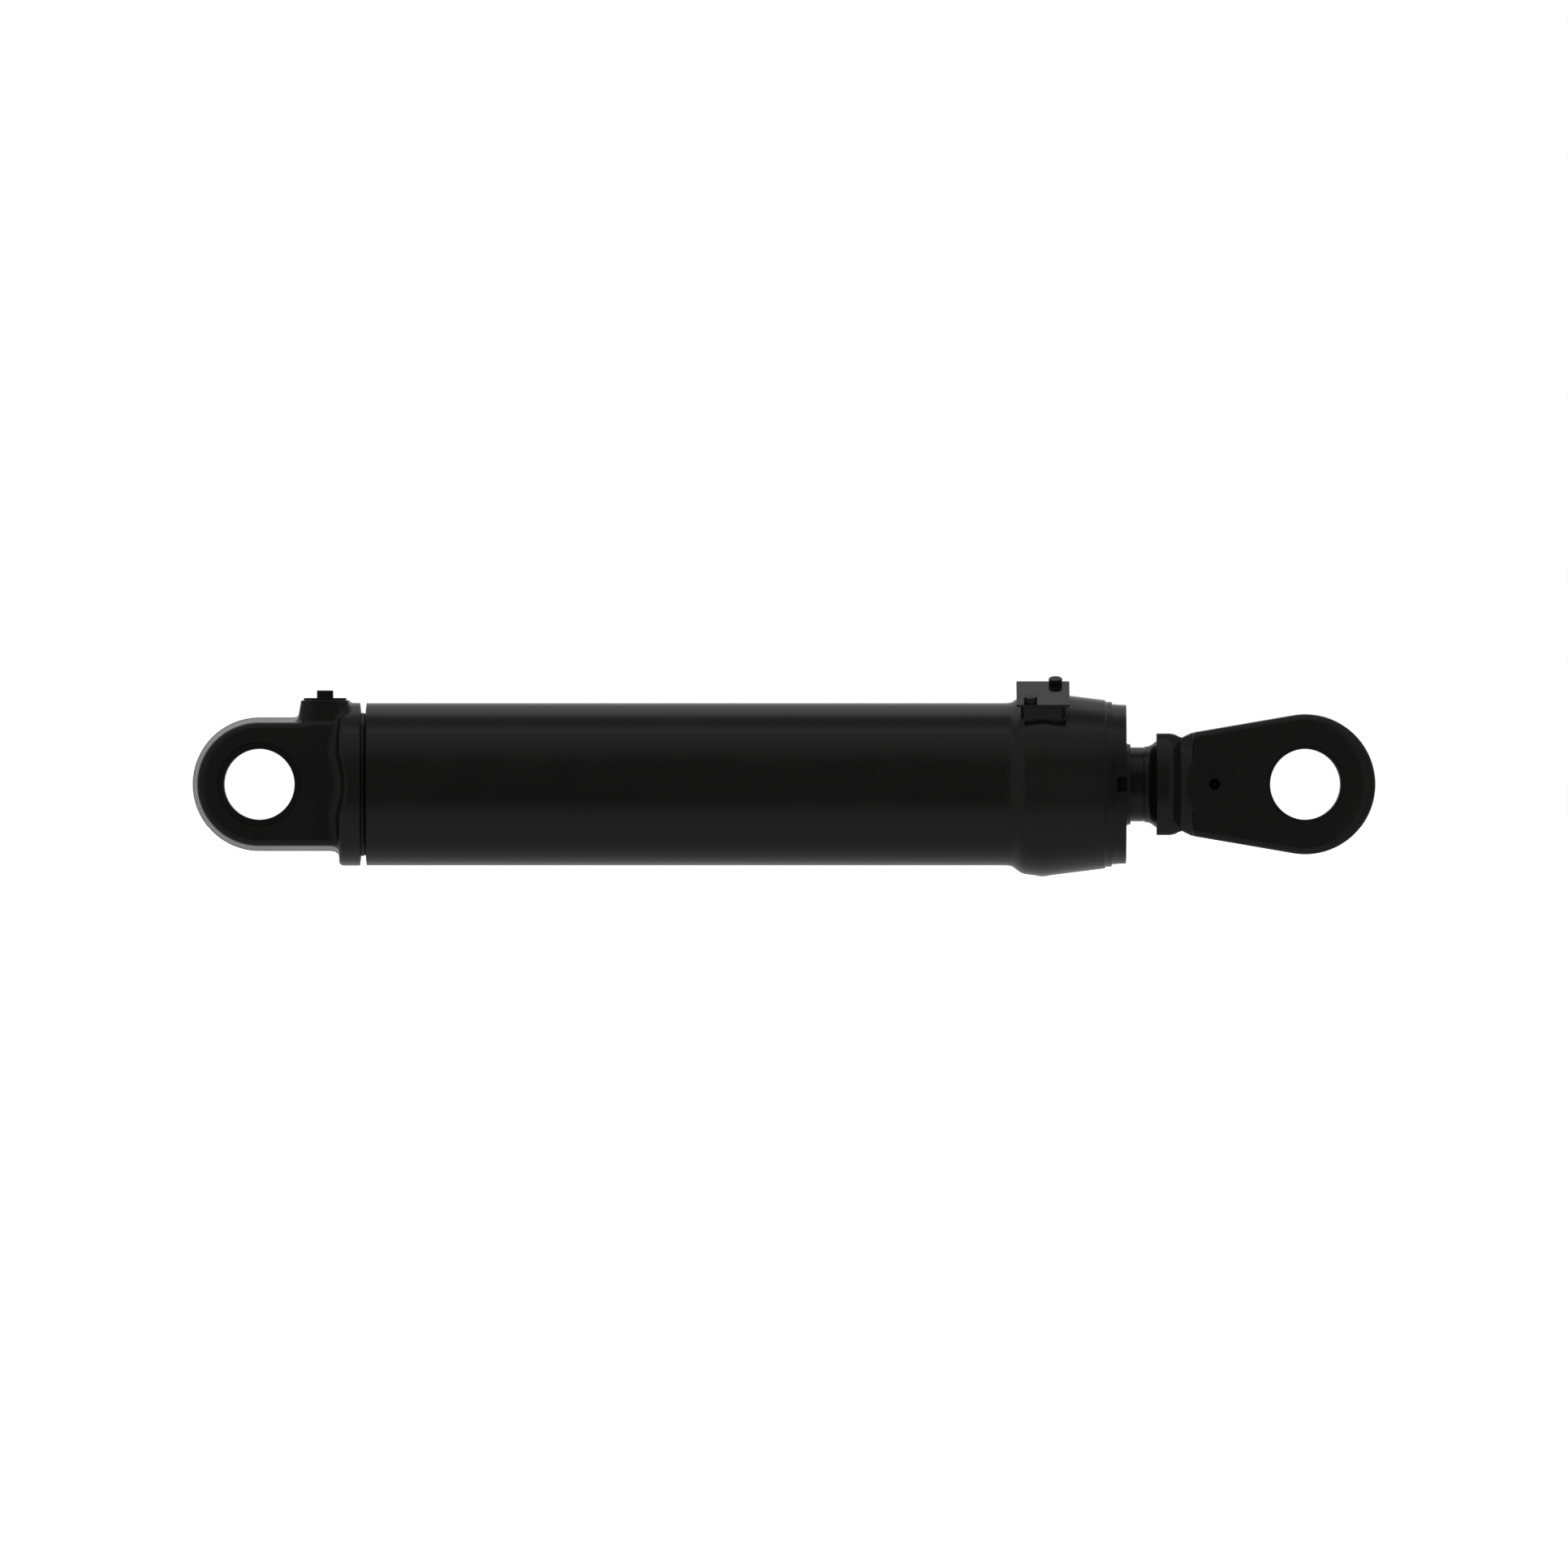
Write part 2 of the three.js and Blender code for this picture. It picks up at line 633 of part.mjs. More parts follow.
// Closes an outline that is drawn above the centre line by its mirror image.
function mirrored(upper) {
  const lower = upper.toReversed().map(([x, z]) => [x, -z]);
  return new THREE.Shape([...upper, ...lower].map(([x, z]) => new THREE.Vector2(x, z)));
}

function rodEyeFlange() {
  const outline = mirrored([
    [ROD_FLANGE_X, FLANGE_HALF_Z],
    [1094.5, FLANGE_HALF_Z],
    [1101, FLANGE_HALF_Z - 1.4],
    [NOTCH.x, NOTCH.halfZ],
    [NOTCH.x + 5, NOTCH.halfZ],
  ]);
  return acrossY(outline, BULGE_R - BULGE_AXIS_Y + 1, { wide: 0.5, deep: 1 });
}

// The eye tapers from its round end to the notch by two lines that touch the round end.
function rodEyeOutline() {
  const tangent = -Math.PI / 2 - ROD_EYE_TAPER;
  const tangentX = PIN_TO_PIN + ROD_EYE_R * Math.cos(tangent);
  const tangentZ = ROD_EYE_R * Math.cos(ROD_EYE_TAPER);
  const cornerX = 1121;
  const cornerZ = tangentZ - (tangentX - cornerX) * Math.tan(ROD_EYE_TAPER);
  const outline = new THREE.Shape();
  outline.absarc(PIN_TO_PIN, 0, ROD_EYE_R, tangent, -tangent);
  outline.lineTo(cornerX, cornerZ);
  outline.lineTo(NOTCH.x + 3, NOTCH.halfZ);
  outline.lineTo(NOTCH.x + 3, -NOTCH.halfZ);
  outline.lineTo(cornerX, -cornerZ);
  outline.closePath();
  return outline;
}

// Everything within FRONT of the middle plane, with its front and back bulging.
function bulgedBody() {
  const endX = PIN_TO_PIN + ROD_EYE_R + 1;
  const rim = FRONT.map(([x, y]) => [x, y + BULGE_AXIS_Y]);
  const [, endR] = rim.at(-1);
  const section = [[ROD_FLANGE_X, 0], [endX, 0], [endX, endR], ...rim.toReversed(), [ROD_FLANGE_X, 0]];
  const towards = (side) => turned(section).translate(0, side * BULGE_AXIS_Y, 0);
  return common(towards(1), towards(-1));
}

function sidePocket(side) {
  const { x0, x1, halfZ0, halfZ1, floorY } = POCKET;
  const halfDepth = 20;
  const tool = acrossY(mirrored([[x0, halfZ0], [x1, halfZ1]]), halfDepth, { wide: 0.2, deep: 0.2 });
  return tool.translate(0, side * (floorY + halfDepth), 0);
}

function rodEye() {
  const blocks = join(rodEyeFlange(), acrossY(rodEyeOutline(), EYE_HALF_WIDTH, ROD_EYE_CHAMFER));
  const eye = common(blocks, bulgedBody());
  const pinBore = alongY(rodAlongX(-EYE_HALF_WIDTH - 1, EYE_HALF_WIDTH + 1, ROD_EYE_BORE_R));
  const spigotEndX = ROD_EYE_X + ROD_SPIGOT_DEPTH + 2;
  const spigotHole = rodAlongX(ROD_EYE_X - 1, spigotEndX, ROD_END_SPIGOT_R + FIT_GAP, MEDIUM);
  const pocket = alongY(rodAlongX(-EYE_HALF_WIDTH - 1, -GREASE.pocketY, GREASE.pocketR, SMALL));
  const drop = alongY(rodAlongX(-GREASE.pocketY - 1, 0, GREASE.wayR, SMALL));
  return cut(
    join(rodEyeNeck(), eye),
    pinBore.translate(PIN_TO_PIN, 0, 0),
    spigotHole,
    sidePocket(1),
    sidePocket(-1),
    pocket.translate(GREASE.x, 0, 0),
    drop.translate(GREASE.x, 0, 0),
    rodAlongX(GREASE.x, PIN_TO_PIN - ROD_EYE_BORE_R + 2, GREASE.wayR, SMALL),
  );
}

// A nipple sunk in its pocket: stem, collar, waist and head.
function greaseNipple() {
  const seat = -GREASE.pocketY - GAP;
  const section = [
    [seat - 10.7, 0],
    [seat + 10.3, 0],
    [seat + 10.3, 2],
    [seat, 2],
    [seat, 4],
    [seat - 4.7, 4],
    [seat - 5.7, 2.2],
    [seat - 7.7, 3.2],
    [seat - 10.7, 1.6],
    [seat - 10.7, 0],
  ];
  return alongY(turned(section, SMALL)).translate(GREASE.x, 0, 0);
}

// ---- Assembly ----

const barrel = group(
  0,
  piece('cap_end_eye', capEndEye(), blackPaint),
  piece('root_weld', rootWeld(), weldSteel),
  piece('barrel_tube', barrelTube(), blackPaint),
  piece('head_forging', headForging(), blackPaint),
  piece('gland', gland(), blackPaint),
  ...glandSeals(),
  ...rodSeals(),
  ...capEyeFittings(),
  group(
    BOSS_X,
    piece('cap_port_plug', portPlug(), blackZinc),
    piece('cap_port_o_ring', upright(oRing(BOSS_TOP_Z - 1.6, 17.9, 2.6, MEDIUM)), rubber),
  ),
  portFittings(),
);

const slidingSeals = group(0, ...pistonSeals());

const { from: oRingFrom, to: oRingTo } = PISTON_O_RING_GROOVE;
const rod = group(
  0,
  piece('piston_rod', pistonRod(), blackRod),
  piece('piston', piston(), brightSteel),
  piece('piston_o_ring', oRing((oRingFrom + oRingTo) / 2, 34.3, 2.8), rubber),
  piece('piston_nut', pistonNut(), darkSteel),
  piece('rod_eye', rodEye(), blackPaint),
  piece('grease_nipple', greaseNipple(), blackZinc),
  group(PIN_TO_PIN, piece('rod_eye_bush', rodEyeBush(), phosphatedSteel)),
);

const cylinder = new THREE.Group();
cylinder.add(barrel, slidingSeals, rod);
cylinder.position.set(-(PIN_TO_PIN + ROD_EYE_R - CAP_EYE_R) / 2, 0, HEAD_MAX_R);

export default cylinder;
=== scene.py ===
"""The looks of a black double-acting hydraulic cylinder with a pin eye at each end.

Shapes are worked out in millimetres in the cylinder's own frame: x = 0 is the cap-end pin, +x points
to the rod eye, y runs along both pins and z = 0 is the centre line. piece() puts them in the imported
part's frame, in metres. Round pieces are swept profiles. The others are implicit fields, negative
inside, meshed by dual contouring.
"""

import json
import math

import bpy
import numpy as np
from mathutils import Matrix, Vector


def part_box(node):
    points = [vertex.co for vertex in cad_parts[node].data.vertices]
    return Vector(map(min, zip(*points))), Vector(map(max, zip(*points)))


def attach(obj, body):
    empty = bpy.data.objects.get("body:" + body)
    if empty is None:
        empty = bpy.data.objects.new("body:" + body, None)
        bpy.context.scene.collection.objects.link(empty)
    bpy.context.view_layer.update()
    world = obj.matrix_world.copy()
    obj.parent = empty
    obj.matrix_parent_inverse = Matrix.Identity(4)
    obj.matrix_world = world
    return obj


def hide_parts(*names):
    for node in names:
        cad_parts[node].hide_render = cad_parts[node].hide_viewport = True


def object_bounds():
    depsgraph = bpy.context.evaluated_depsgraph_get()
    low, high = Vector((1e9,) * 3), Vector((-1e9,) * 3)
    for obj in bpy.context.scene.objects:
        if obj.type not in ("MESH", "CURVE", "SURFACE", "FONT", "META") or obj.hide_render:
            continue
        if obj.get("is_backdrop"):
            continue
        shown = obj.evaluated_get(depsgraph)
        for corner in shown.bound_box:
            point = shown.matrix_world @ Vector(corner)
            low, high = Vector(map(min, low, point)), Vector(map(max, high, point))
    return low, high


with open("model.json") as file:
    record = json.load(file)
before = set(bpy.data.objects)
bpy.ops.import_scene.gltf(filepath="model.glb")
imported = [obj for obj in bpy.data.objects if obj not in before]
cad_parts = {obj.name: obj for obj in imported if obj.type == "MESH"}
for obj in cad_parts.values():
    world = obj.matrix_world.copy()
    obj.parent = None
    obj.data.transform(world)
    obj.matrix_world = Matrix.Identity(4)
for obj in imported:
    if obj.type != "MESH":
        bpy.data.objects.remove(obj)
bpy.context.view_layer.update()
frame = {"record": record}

MM = 0.001
FINE = 1.0  # coarser grids while trying things

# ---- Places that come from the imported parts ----

X, Y, Z = range(3)


def box_middle(node):
    low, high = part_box(node)
    return (low + high) / 2


ORIGIN = np.array([box_middle("cap_eye_bush").x, 0.0, box_middle("barrel_tube").z])


def span(node, axis):
    """A node's lowest and highest coordinate along one axis, in the cylinder's own frame."""
    low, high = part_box(node)
    return (low[axis] - ORIGIN[axis]) / MM, (high[axis] - ORIGIN[axis]) / MM


def middle(node, axis):
    """The middle of a node's box along one axis, in the cylinder's own frame."""
    return (box_middle(node)[axis] - ORIGIN[axis]) / MM


CAP_EYE_R = -span("cap_end_eye", X)[0]
CAP_END_X = span("cap_end_eye", X)[1]
TUBE_R = span("barrel_tube", Z)[1]
HEAD_X, HEAD_END_X = span("head_forging", X)
GLAND_X, GLAND_END_X = span("gland", X)
WELD_X = middle("root_weld", X)
BOSS_X = middle("cap_port_plug", X)
ROD_EYE_X, ROD_EYE_END_X = span("rod_eye", X)
ROD_PIN_X = middle("rod_eye_bush", X)
ROD_EYE_R = ROD_EYE_END_X - ROD_PIN_X
GREASE_X = middle("grease_nipple", X)
PORT_X = middle("rod_port_cover", X)

# ---- Shape constants, millimetres ----

EYE_HALF = 55.0  # half the width of both eyes along their pins
PIN_R = 42.5
BORE_R = 82.5
ROD_R = 44.5
GAP = 0.3  # between neighbouring pieces
TOUCH = 0.02  # how far a ring reaches past the wall it sits in, so that no light gets through
PARTING_WIDTH = 1.4

# Cap-end eye
CAP_DRAFT = 6.3  # how far the side wall falls back from the middle to the faces
CAP_PARTING = 0.45
CAP_CROWN_CUT = 2.0  # how much of the rounding at the faces the side wall cuts off
CAP_FLANGE_R = 97.9
CAP_SHOULDER_X = 95.6
CLEVIS_SWEEP_R = 102.0
CAP_BORE_R = 50.0
PIN_SEAL_R = 42.9
GROOVE_LEFT_X = 121.1
GROOVE_SLOPE = 0.122
SPIGOT_X = 100.0
SPIGOT_PLAY = 0.4
GALLERY_R = 11.0
GALLERY_Z = 45.0

# Weld between the cap-end eye and the tube, and the tube's bevelled end
BEAD_EDGE_R = 84.7
BEAD_RISE = 1.15
WELD_FLOOR_R = 84.4  # the ripples fade out down to this radius
WELD_RIPPLES = 150
TUBE_ROOT_X = WELD_X + 3.15
TUBE_EDGE_X = WELD_X + 4.65
TUBE_ROOT_R = 85.6

# Cap-end port boss
BOSS_HALF_X = 28.5
BOSS_HALF_Y = 47.5
BOSS_TOP_Z = 100.8
BOSS_FOOT_Z = 72.0
BOSS_CORNER_R = 16.0
BOSS_DRAFT = math.radians(9.6)
PORT_R = 16.0
WELL_FLOOR_Z = 38.0
SEAT_R = 20.0
SEAT_DEEP = 3.2

# Transport plug
PLUG_SEAT = -GAP + TOUCH  # the flange's underside, down on the boss
PLUG_FLANGE_R = 25.6
PLUG_FLANGE_TOP = 2.6
PLUG_ACROSS_FLATS = 19.4
PLUG_TOP = 11.7
PLUG_STEM_R = 15.5
PLUG_STEM_END = -22.0

# Rod-end port: its pad leans towards -y, and carries a transport cover
PORT_Y = -7.2
PORT_TILT = math.radians(21.5)
PORT_FLOOR = 50.0
PAD_TOP = 114.4
PAD_FOOT = 60.0
PAD_HALF_X = 27.3
PAD_HALF_Y = 37.3
PAD_CORNER_R = 11.0
COVER_HALF_X = 31.85
COVER_HALF_Y = 39.1
COVER_CORNER_R = 2.0
COVER_THICK = 3.1
COVER_HOLE_R = 5.4
COVER_RING_R = 22.0
COVER_RING_SECTION = 1.1
COVER_GROOVE_HALF = 2.5
COVER_GROOVE_DEEP = 2.4
BOLT_HALF_X = 15.1
BOLT_HALF_Y = 29.35
BOLT_HOLE_R = 5.1
BOLT_HOLE_FLOOR = 92.0

# Bores of the head: the tube's bore runs on, then come the gland's land and its thread
HEAD_BORE_LONG = 19.5
LAND_BORE_R = 86.0
THREAD_BORE_X = 978.5
THREAD_BORE_R = 89.9

# Gland: a slotted collar, a thread, a sealing land and a nose
COLLAR_R = 96.4
COLLAR_TAPER = 0.035
SLOT_HALF = 8.75
SLOT_BOTTOM_R = 88.9
SLOT_DEEP = 11.7
THREAD_X = 979.0
THREAD_R = 89.5
LAND_X = 959.0
LAND_END_X = 990.0
LAND_R = 85.6
LAND_GROOVE_X = 968.5
LAND_GROOVE_HALF = 4.5
LAND_GROOVE_R = 80.5
NOSE_END_X = 970.0
NOSE_R = 70.0
GLAND_ROD_PLAY = 1.1
ROD_RING_R = 45.3  # inner radius of the rings that run on the rod
# Ring grooves: low x, high x and floor radius
GLAND_GROOVES = ((915, 931, 48), (984, 991, 52), (997, 1008, 52), (1012, 1024, 48), (1031, 1060, 52))
PISTON_GROOVES = ((222, 240, 79), (201, 211, 73), (172, 190, 79))

# Piston and nut
PISTON_BORE_R = 32.4
NUT_ACROSS_FLATS = 79.6
NUT_FACE_R = 44.0
NUT_CHAMFER = 1.7
NUT_BORE_R = 27.4

# Rod eye: a flange, a notch behind it, and a shoulder up to the eye
ROD_FLANGE_X = 1077.8
NOTCH_X = 1106.6
SHOULDER_END_X = 1123.5
ROD_EYE_BORE_R = 46.5
ROD_EYE_TAPER = math.radians(9.75)
ROD_PARTING = 0.4
ROD_CROWN_CUT = 0.133  # as for the cap-end eye, but as a share of the rounding's radius
BULGE_AXIS_Y = 20.0  # how far beyond the middle the axis of each bulged face lies
POCKET_X = 1102.5
POCKET_HALF_X = 4.0
POCKET_HALF_Z = 42.0
POCKET_FLARE = 1.6
POCKET_FLOOR_Y = 32.0
GREASE_POCKET_R = 6.65
GREASE_POCKET_Y = -36.0
GREASE_WAY_R = 2.6
ROD_STUB_R = 18.0
ROD_STUB_HOLE_R = 18.4
ROD_STUB_HOLE_DEEP = 24.0

# ---- Fields ----


def meet(a, b, r):
    """Both a and b, with their edge rounded off to radius r."""
    return np.minimum(-r, np.maximum(a, b)) + np.hypot(np.maximum(r + a, 0), np.maximum(r + b, 0))


def blend_in(a, b, r):
    """Either a or b, with a fillet of radius r where they meet."""
    return np.maximum(r, np.minimum(a, b)) - np.hypot(np.maximum(r - a, 0), np.maximum(r - b, 0))


def ease(x, low, high):
    t = np.clip((x - low) / (high - low), 0, 1)
    return t * t * (3 - 2 * t)


def rounded_box(u, v, half_u, half_v, corner):
    du = np.abs(u) - half_u + corner
    dv = np.abs(v) - half_v + corner
    outside = np.hypot(np.maximum(du, 0), np.maximum(dv, 0))
    return outside + np.minimum(np.maximum(du, dv), 0) - corner


def hexagon(u, v, across_flats):
    far = np.abs(u) * math.cos(math.pi / 6) + np.abs(v) * 0.5
    return np.maximum(far, np.abs(v)) - across_flats / 2


def parting_line(y, rise):
    """The low ridge on a forging where its two dies met."""
    return rise * np.exp(-((y / PARTING_WIDTH) ** 2))


def soft_profile(knots, blur):
    """A radius along x through the knots, with its corners eased over the blur."""
    at = np.arange(knots[0][0] - 30, knots[-1][0] + 30, 0.25)
    radius = np.interp(at, [k[0] for k in knots], [k[1] for k in knots])
    reach = np.arange(-4 * blur, 4 * blur + 0.1, 0.25)
    kernel = np.exp(-0.5 * (reach / blur) ** 2)
    padded = np.pad(radius, len(kernel) // 2, mode="edge")
    eased = np.convolve(padded, kernel / kernel.sum(), mode="valid")
    return lambda x: np.interp(x, at, eased[: len(at)])


def cap_end_eye(x, y, z):
    rho = np.hypot(y, z)
    about_pin = np.hypot(x, z)
    side = np.abs(y)
    ridge = parting_line(y, CAP_PARTING)
    draft = CAP_DRAFT * side / EYE_HALF
    wall = np.hypot(np.minimum(x, 0), z) - CAP_EYE_R + CAP_PARTING - ridge + draft
    crown = meet(wall - CAP_CROWN_CUT, side - EYE_HALF, 11.5)
    lug = np.maximum(meet(crown, wall, 2.0), x - CAP_SHOULDER_X - 16)

    flange = np.maximum(CAP_SHOULDER_X - x, CLEVIS_SWEEP_R - about_pin)
    flange = meet(flange, rho - CAP_FLANGE_R, 5.0)
    groove = x - GROOVE_LEFT_X - (CAP_FLANGE_R - rho) * GROOVE_SLOPE
    flange = meet(flange, groove, 0.7)
    # The fillet between them widens from 9.5 at the top and bottom to 15.5 in the middle.
    fillet = 9.5 + 6.0 * ease(-np.abs(z), -72, -40)
    body = blend_in(lug, flange, fillet)

    spread = (BOSS_TOP_Z - z) * math.tan(BOSS_DRAFT)
    boss_wall = rounded_box(
        x - BOSS_X, y, BOSS_HALF_X + spread, BOSS_HALF_Y + spread, BOSS_CORNER_R + spread
    )
    boss = meet(boss_wall * math.cos(BOSS_DRAFT), z - BOSS_TOP_Z, 0.6)
    boss = np.maximum(boss, BOSS_FOOT_Z - z)
    body = np.maximum(blend_in(body, boss, 5.5), groove)

    spigot = meet(rho - BORE_R + SPIGOT_PLAY, x - CAP_END_X, 1.5)
    body = np.minimum(body, np.maximum(spigot, SPIGOT_X - x))
    body = meet(body, CAP_BORE_R - about_pin, 0.5)
    about_port = np.hypot(x - BOSS_X, y)
    body = np.maximum(body, -port_well(about_port, z))
    gallery = np.maximum(np.hypot(y, z - GALLERY_Z) - GALLERY_R, BOSS_X - x)
    return np.maximum(body, -gallery)


def port_well(about_port, z):
    """The cap-end port: a threaded well with a seat for its sealing ring."""
    well = np.maximum(about_port - PORT_R, WELL_FLOOR_Z - z)
    seat = np.maximum(about_port - SEAT_R, BOSS_TOP_Z - SEAT_DEEP - z)
    return np.minimum(well, seat)


flare_radius = soft_profile(
    [
        (HEAD_X, TUBE_R),
        (903.3, 98.4),
        (909.1, 102.4),
        (913.0, 105.6),
        (918.9, 108.0),
        (927.7, 109.1),
        (940.3, 110.6),
        (947.2, 109.9),
        (1050.0, 97.0),
    ],
    1.1,
)
step_radius = soft_profile(
    [(1000, 115), (1014.0, 115), (1015.2, 101.6), (1017.0, 99.2), (HEAD_END_X, 99.2)], 0.35
)


def head_radius(x):
    return np.minimum(flare_radius(x), step_radius(x))


def port_frame(y, z):
    """Coordinates across and out of the rod-end port, which leans towards -y."""
    across = (y - PORT_Y) * math.cos(PORT_TILT) + z * math.sin(PORT_TILT)
    out = z * math.cos(PORT_TILT) - (y - PORT_Y) * math.sin(PORT_TILT)
    return across, out


def head_forging(x, y, z):
    rho = np.hypot(y, z)
    across, out = port_frame(y, z)
    shell = np.maximum(rho - head_radius(x), HEAD_X - x)
    shell = meet(shell, x - HEAD_END_X, 0.6)
    pad_wall = rounded_box(x - PORT_X, across, PAD_HALF_X, PAD_HALF_Y, PAD_CORNER_R)
    pad = np.maximum(meet(pad_wall, out - PAD_TOP, 0.8), PAD_FOOT - out)
    body = blend_in(shell, pad, 1.0)
    gland_bore = np.where(x < THREAD_BORE_X, LAND_BORE_R, THREAD_BORE_R)
    inner = np.where(x < HEAD_X + HEAD_BORE_LONG, BORE_R, gland_bore)
    body = np.maximum(body, inner - rho)
    about_port = np.hypot(x - PORT_X, across)
    port = np.maximum(about_port - PORT_R, PORT_FLOOR - out)
    seat = np.abs(about_port - COVER_RING_R) - COVER_GROOVE_HALF
    seat = np.maximum(seat, PAD_TOP - COVER_GROOVE_DEEP - out)
    body = np.maximum(body, -np.minimum(port, seat))
    for side in (1, -1):
        about = np.hypot(x - PORT_X - side * BOLT_HALF_X, across - side * BOLT_HALF_Y)
        body = np.maximum(body, -np.maximum(about - BOLT_HOLE_R, BOLT_HOLE_FLOOR - out))
    return body


def port_cover(x, y, z):
    """The transport cover, in the port's own frame."""
    outline = rounded_box(x, y, COVER_HALF_X, COVER_HALF_Y, COVER_CORNER_R)
    plate = meet(outline, np.abs(z) - COVER_THICK / 2, 0.35)
    for side in (1, -1):
        about = np.hypot(x - side * BOLT_HALF_X, y - side * BOLT_HALF_Y)
        plate = np.maximum(plate, COVER_HOLE_R - about)
    return plate


def port_plug(x, y, z):
    """The transport plug. z = 0 is a gap above the boss."""
    rho = np.hypot(x, y)
    flange = np.maximum(meet(rho - PLUG_FLANGE_R, z - PLUG_FLANGE_TOP, 0.3), PLUG_SEAT - z)
    hexed = meet(hexagon(y, x, PLUG_ACROSS_FLATS), z - PLUG_TOP, 0.3)
    hexed = np.maximum(hexed, PLUG_SEAT - z)
    stem = np.maximum(rho - PLUG_STEM_R, np.maximum(z - 1, PLUG_STEM_END - z))
    return np.minimum(blend_in(flange, hexed, 0.6), stem)


def gland(x, y, z):
    rho = np.hypot(y, z)
    collar = meet(rho - COLLAR_R + (x - HEAD_END_X) * COLLAR_TAPER, x - GLAND_END_X, 0.6)
    collar = meet(collar, HEAD_END_X - x, 0.25)
    for across, out in ((y, np.abs(z)), (z, np.abs(y))):
        slot = np.maximum(np.abs(across) - SLOT_HALF, SLOT_BOTTOM_R - out)
        collar = np.maximum(collar, -np.maximum(slot, GLAND_END_X - SLOT_DEEP - x))
    thread = np.maximum(rho - THREAD_R, np.maximum(THREAD_X - x, x - HEAD_END_X - 2))
    land = np.maximum(rho - LAND_R, np.maximum(LAND_X - x, x - LAND_END_X))
    land_groove = np.maximum(LAND_GROOVE_R - rho, np.abs(x - LAND_GROOVE_X) - LAND_GROOVE_HALF)
    land = np.maximum(land, -land_groove)
    nose = np.maximum(rho - NOSE_R, np.maximum(GLAND_X - x, x - NOSE_END_X))
    body = np.minimum(np.minimum(collar, thread), np.minimum(land, nose))
    body = np.maximum(body, ROD_R + GLAND_ROD_PLAY - rho)
    for low, high, radius in GLAND_GROOVES:
        body = np.maximum(body, -np.maximum(rho - radius, np.maximum(low - x, x - high)))
    return body


def piston_nut(x, y, z):
    low, high = span("piston_nut", X)
    rho = np.hypot(y, z)
    nut = np.maximum(hexagon(y, z, NUT_ACROSS_FLATS), np.maximum(low - x, x - high))
    chamfer = (rho - NUT_FACE_R - NUT_CHAMFER * np.minimum(x - low, high - x)) * 0.5
    return np.maximum(np.maximum(nut, chamfer), NUT_BORE_R - rho)


# How far the rod eye's neck reaches in radius, and its flange and shoulder along z and along y.
neck_radius = soft_profile(
    [(ROD_EYE_X, 45.4), (1066, 45.5), (1070, 46.6), (1073.4, 48.7), (1076, 51), (1081, 54)], 0.7
)
neck_height = soft_profile(
    [
        (1060, 61.25),
        (1094, 61.25),
        (1100, 60.1),
        (NOTCH_X - 2, 57.6),
        (1108.6, 56.4),
        (1112.3, 58.5),
        (1116.6, 60.4),
        (1120, 62.0),
        (1124, 62.9),
    ],
    0.5,
)
front_reach = soft_profile(
    [
        (1060, 58),
        (1092, 58),
        (1096.5, 56.8),
        (NOTCH_X, 52.4),
        (1111.5, 54.6),
        (1114.5, 56.2),
        (1122.4, 60.9),
        (1123, 95),
    ],
    0.5,
)


def rod_eye(x, y, z):
    rho = np.hypot(y, z)
    side = np.abs(y)
    height = np.abs(z)
    u = x - ROD_PIN_X
    along = u * math.cos(ROD_EYE_TAPER) + height * math.sin(ROD_EYE_TAPER)
    off = -u * math.sin(ROD_EYE_TAPER) + height * math.cos(ROD_EYE_TAPER)
    outline = np.where(along > 0, np.hypot(u, z), off) - ROD_EYE_R
    outline = np.where(x < SHOULDER_END_X, height - neck_height(x), outline)
    outline = outline + ROD_PARTING - parting_line(y, ROD_PARTING)
    edge = 12.0 + 8.5 * ease(u, 5, 80)
    crown = meet(outline - edge * ROD_CROWN_CUT, side - EYE_HALF, edge)
    eye = np.where(x < NOTCH_X, outline, meet(crown, outline, 1.0))
    reach = front_reach(x)
    steepness = front_reach(x + 0.5) - front_reach(x - 0.5)
    bulge = np.hypot(side + BULGE_AXIS_Y, z) - BULGE_AXIS_Y - reach
    eye = meet(eye, bulge / np.hypot(1, steepness), 1.2)
    eye = meet(eye, ROD_FLANGE_X - x, 0.8)
    pocket_top = height - POCKET_HALF_Z - (x - (POCKET_X - POCKET_HALF_X)) * POCKET_FLARE
    pocket = np.maximum(POCKET_FLOOR_Y - side, np.abs(x - POCKET_X) - POCKET_HALF_X)
    # 0.53 makes a distance of the sloping side's height.
    eye = meet(eye, -np.maximum(pocket, pocket_top * 0.53), 0.4)
    neck = np.maximum(rho - neck_radius(x), ROD_EYE_X - x)
    body = np.minimum(np.maximum(neck, x - ROD_FLANGE_X - 3), eye)

    body = meet(body, ROD_EYE_BORE_R - np.hypot(u, z), 0.5)
    about_grease = np.hypot(x - GREASE_X, z)
    grease = np.maximum(about_grease - GREASE_POCKET_R, y - GREASE_POCKET_Y)
    way = np.maximum(about_grease - GREASE_WAY_R, y)
    stub_hole = np.maximum(rho - ROD_STUB_HOLE_R, x - ROD_EYE_X - ROD_STUB_HOLE_DEEP)
    return np.maximum(body, -np.minimum(np.minimum(grease, way), stub_hole))


# ---- Meshing ----

PULL_TO_MIDDLE = 0.03  # keeps a cell's vertex near its crossings where the surface is flat
CREASE = math.radians(24)
ON_AXIS = 1e-6
SHARP = 0.01  # turns smaller than this, in radians, get no fillet


def lines(*spans):
    """Grid lines along one axis, from (start, stop, step) spans laid end to end."""
    parts = []
    for start, stop, step in spans:
        count = max(2, round((stop - start) / (step * FINE)))
        parts.append(np.linspace(start, stop, count + 1)[:-1])
    parts.append([spans[-1][1]])
    return np.concatenate(parts)


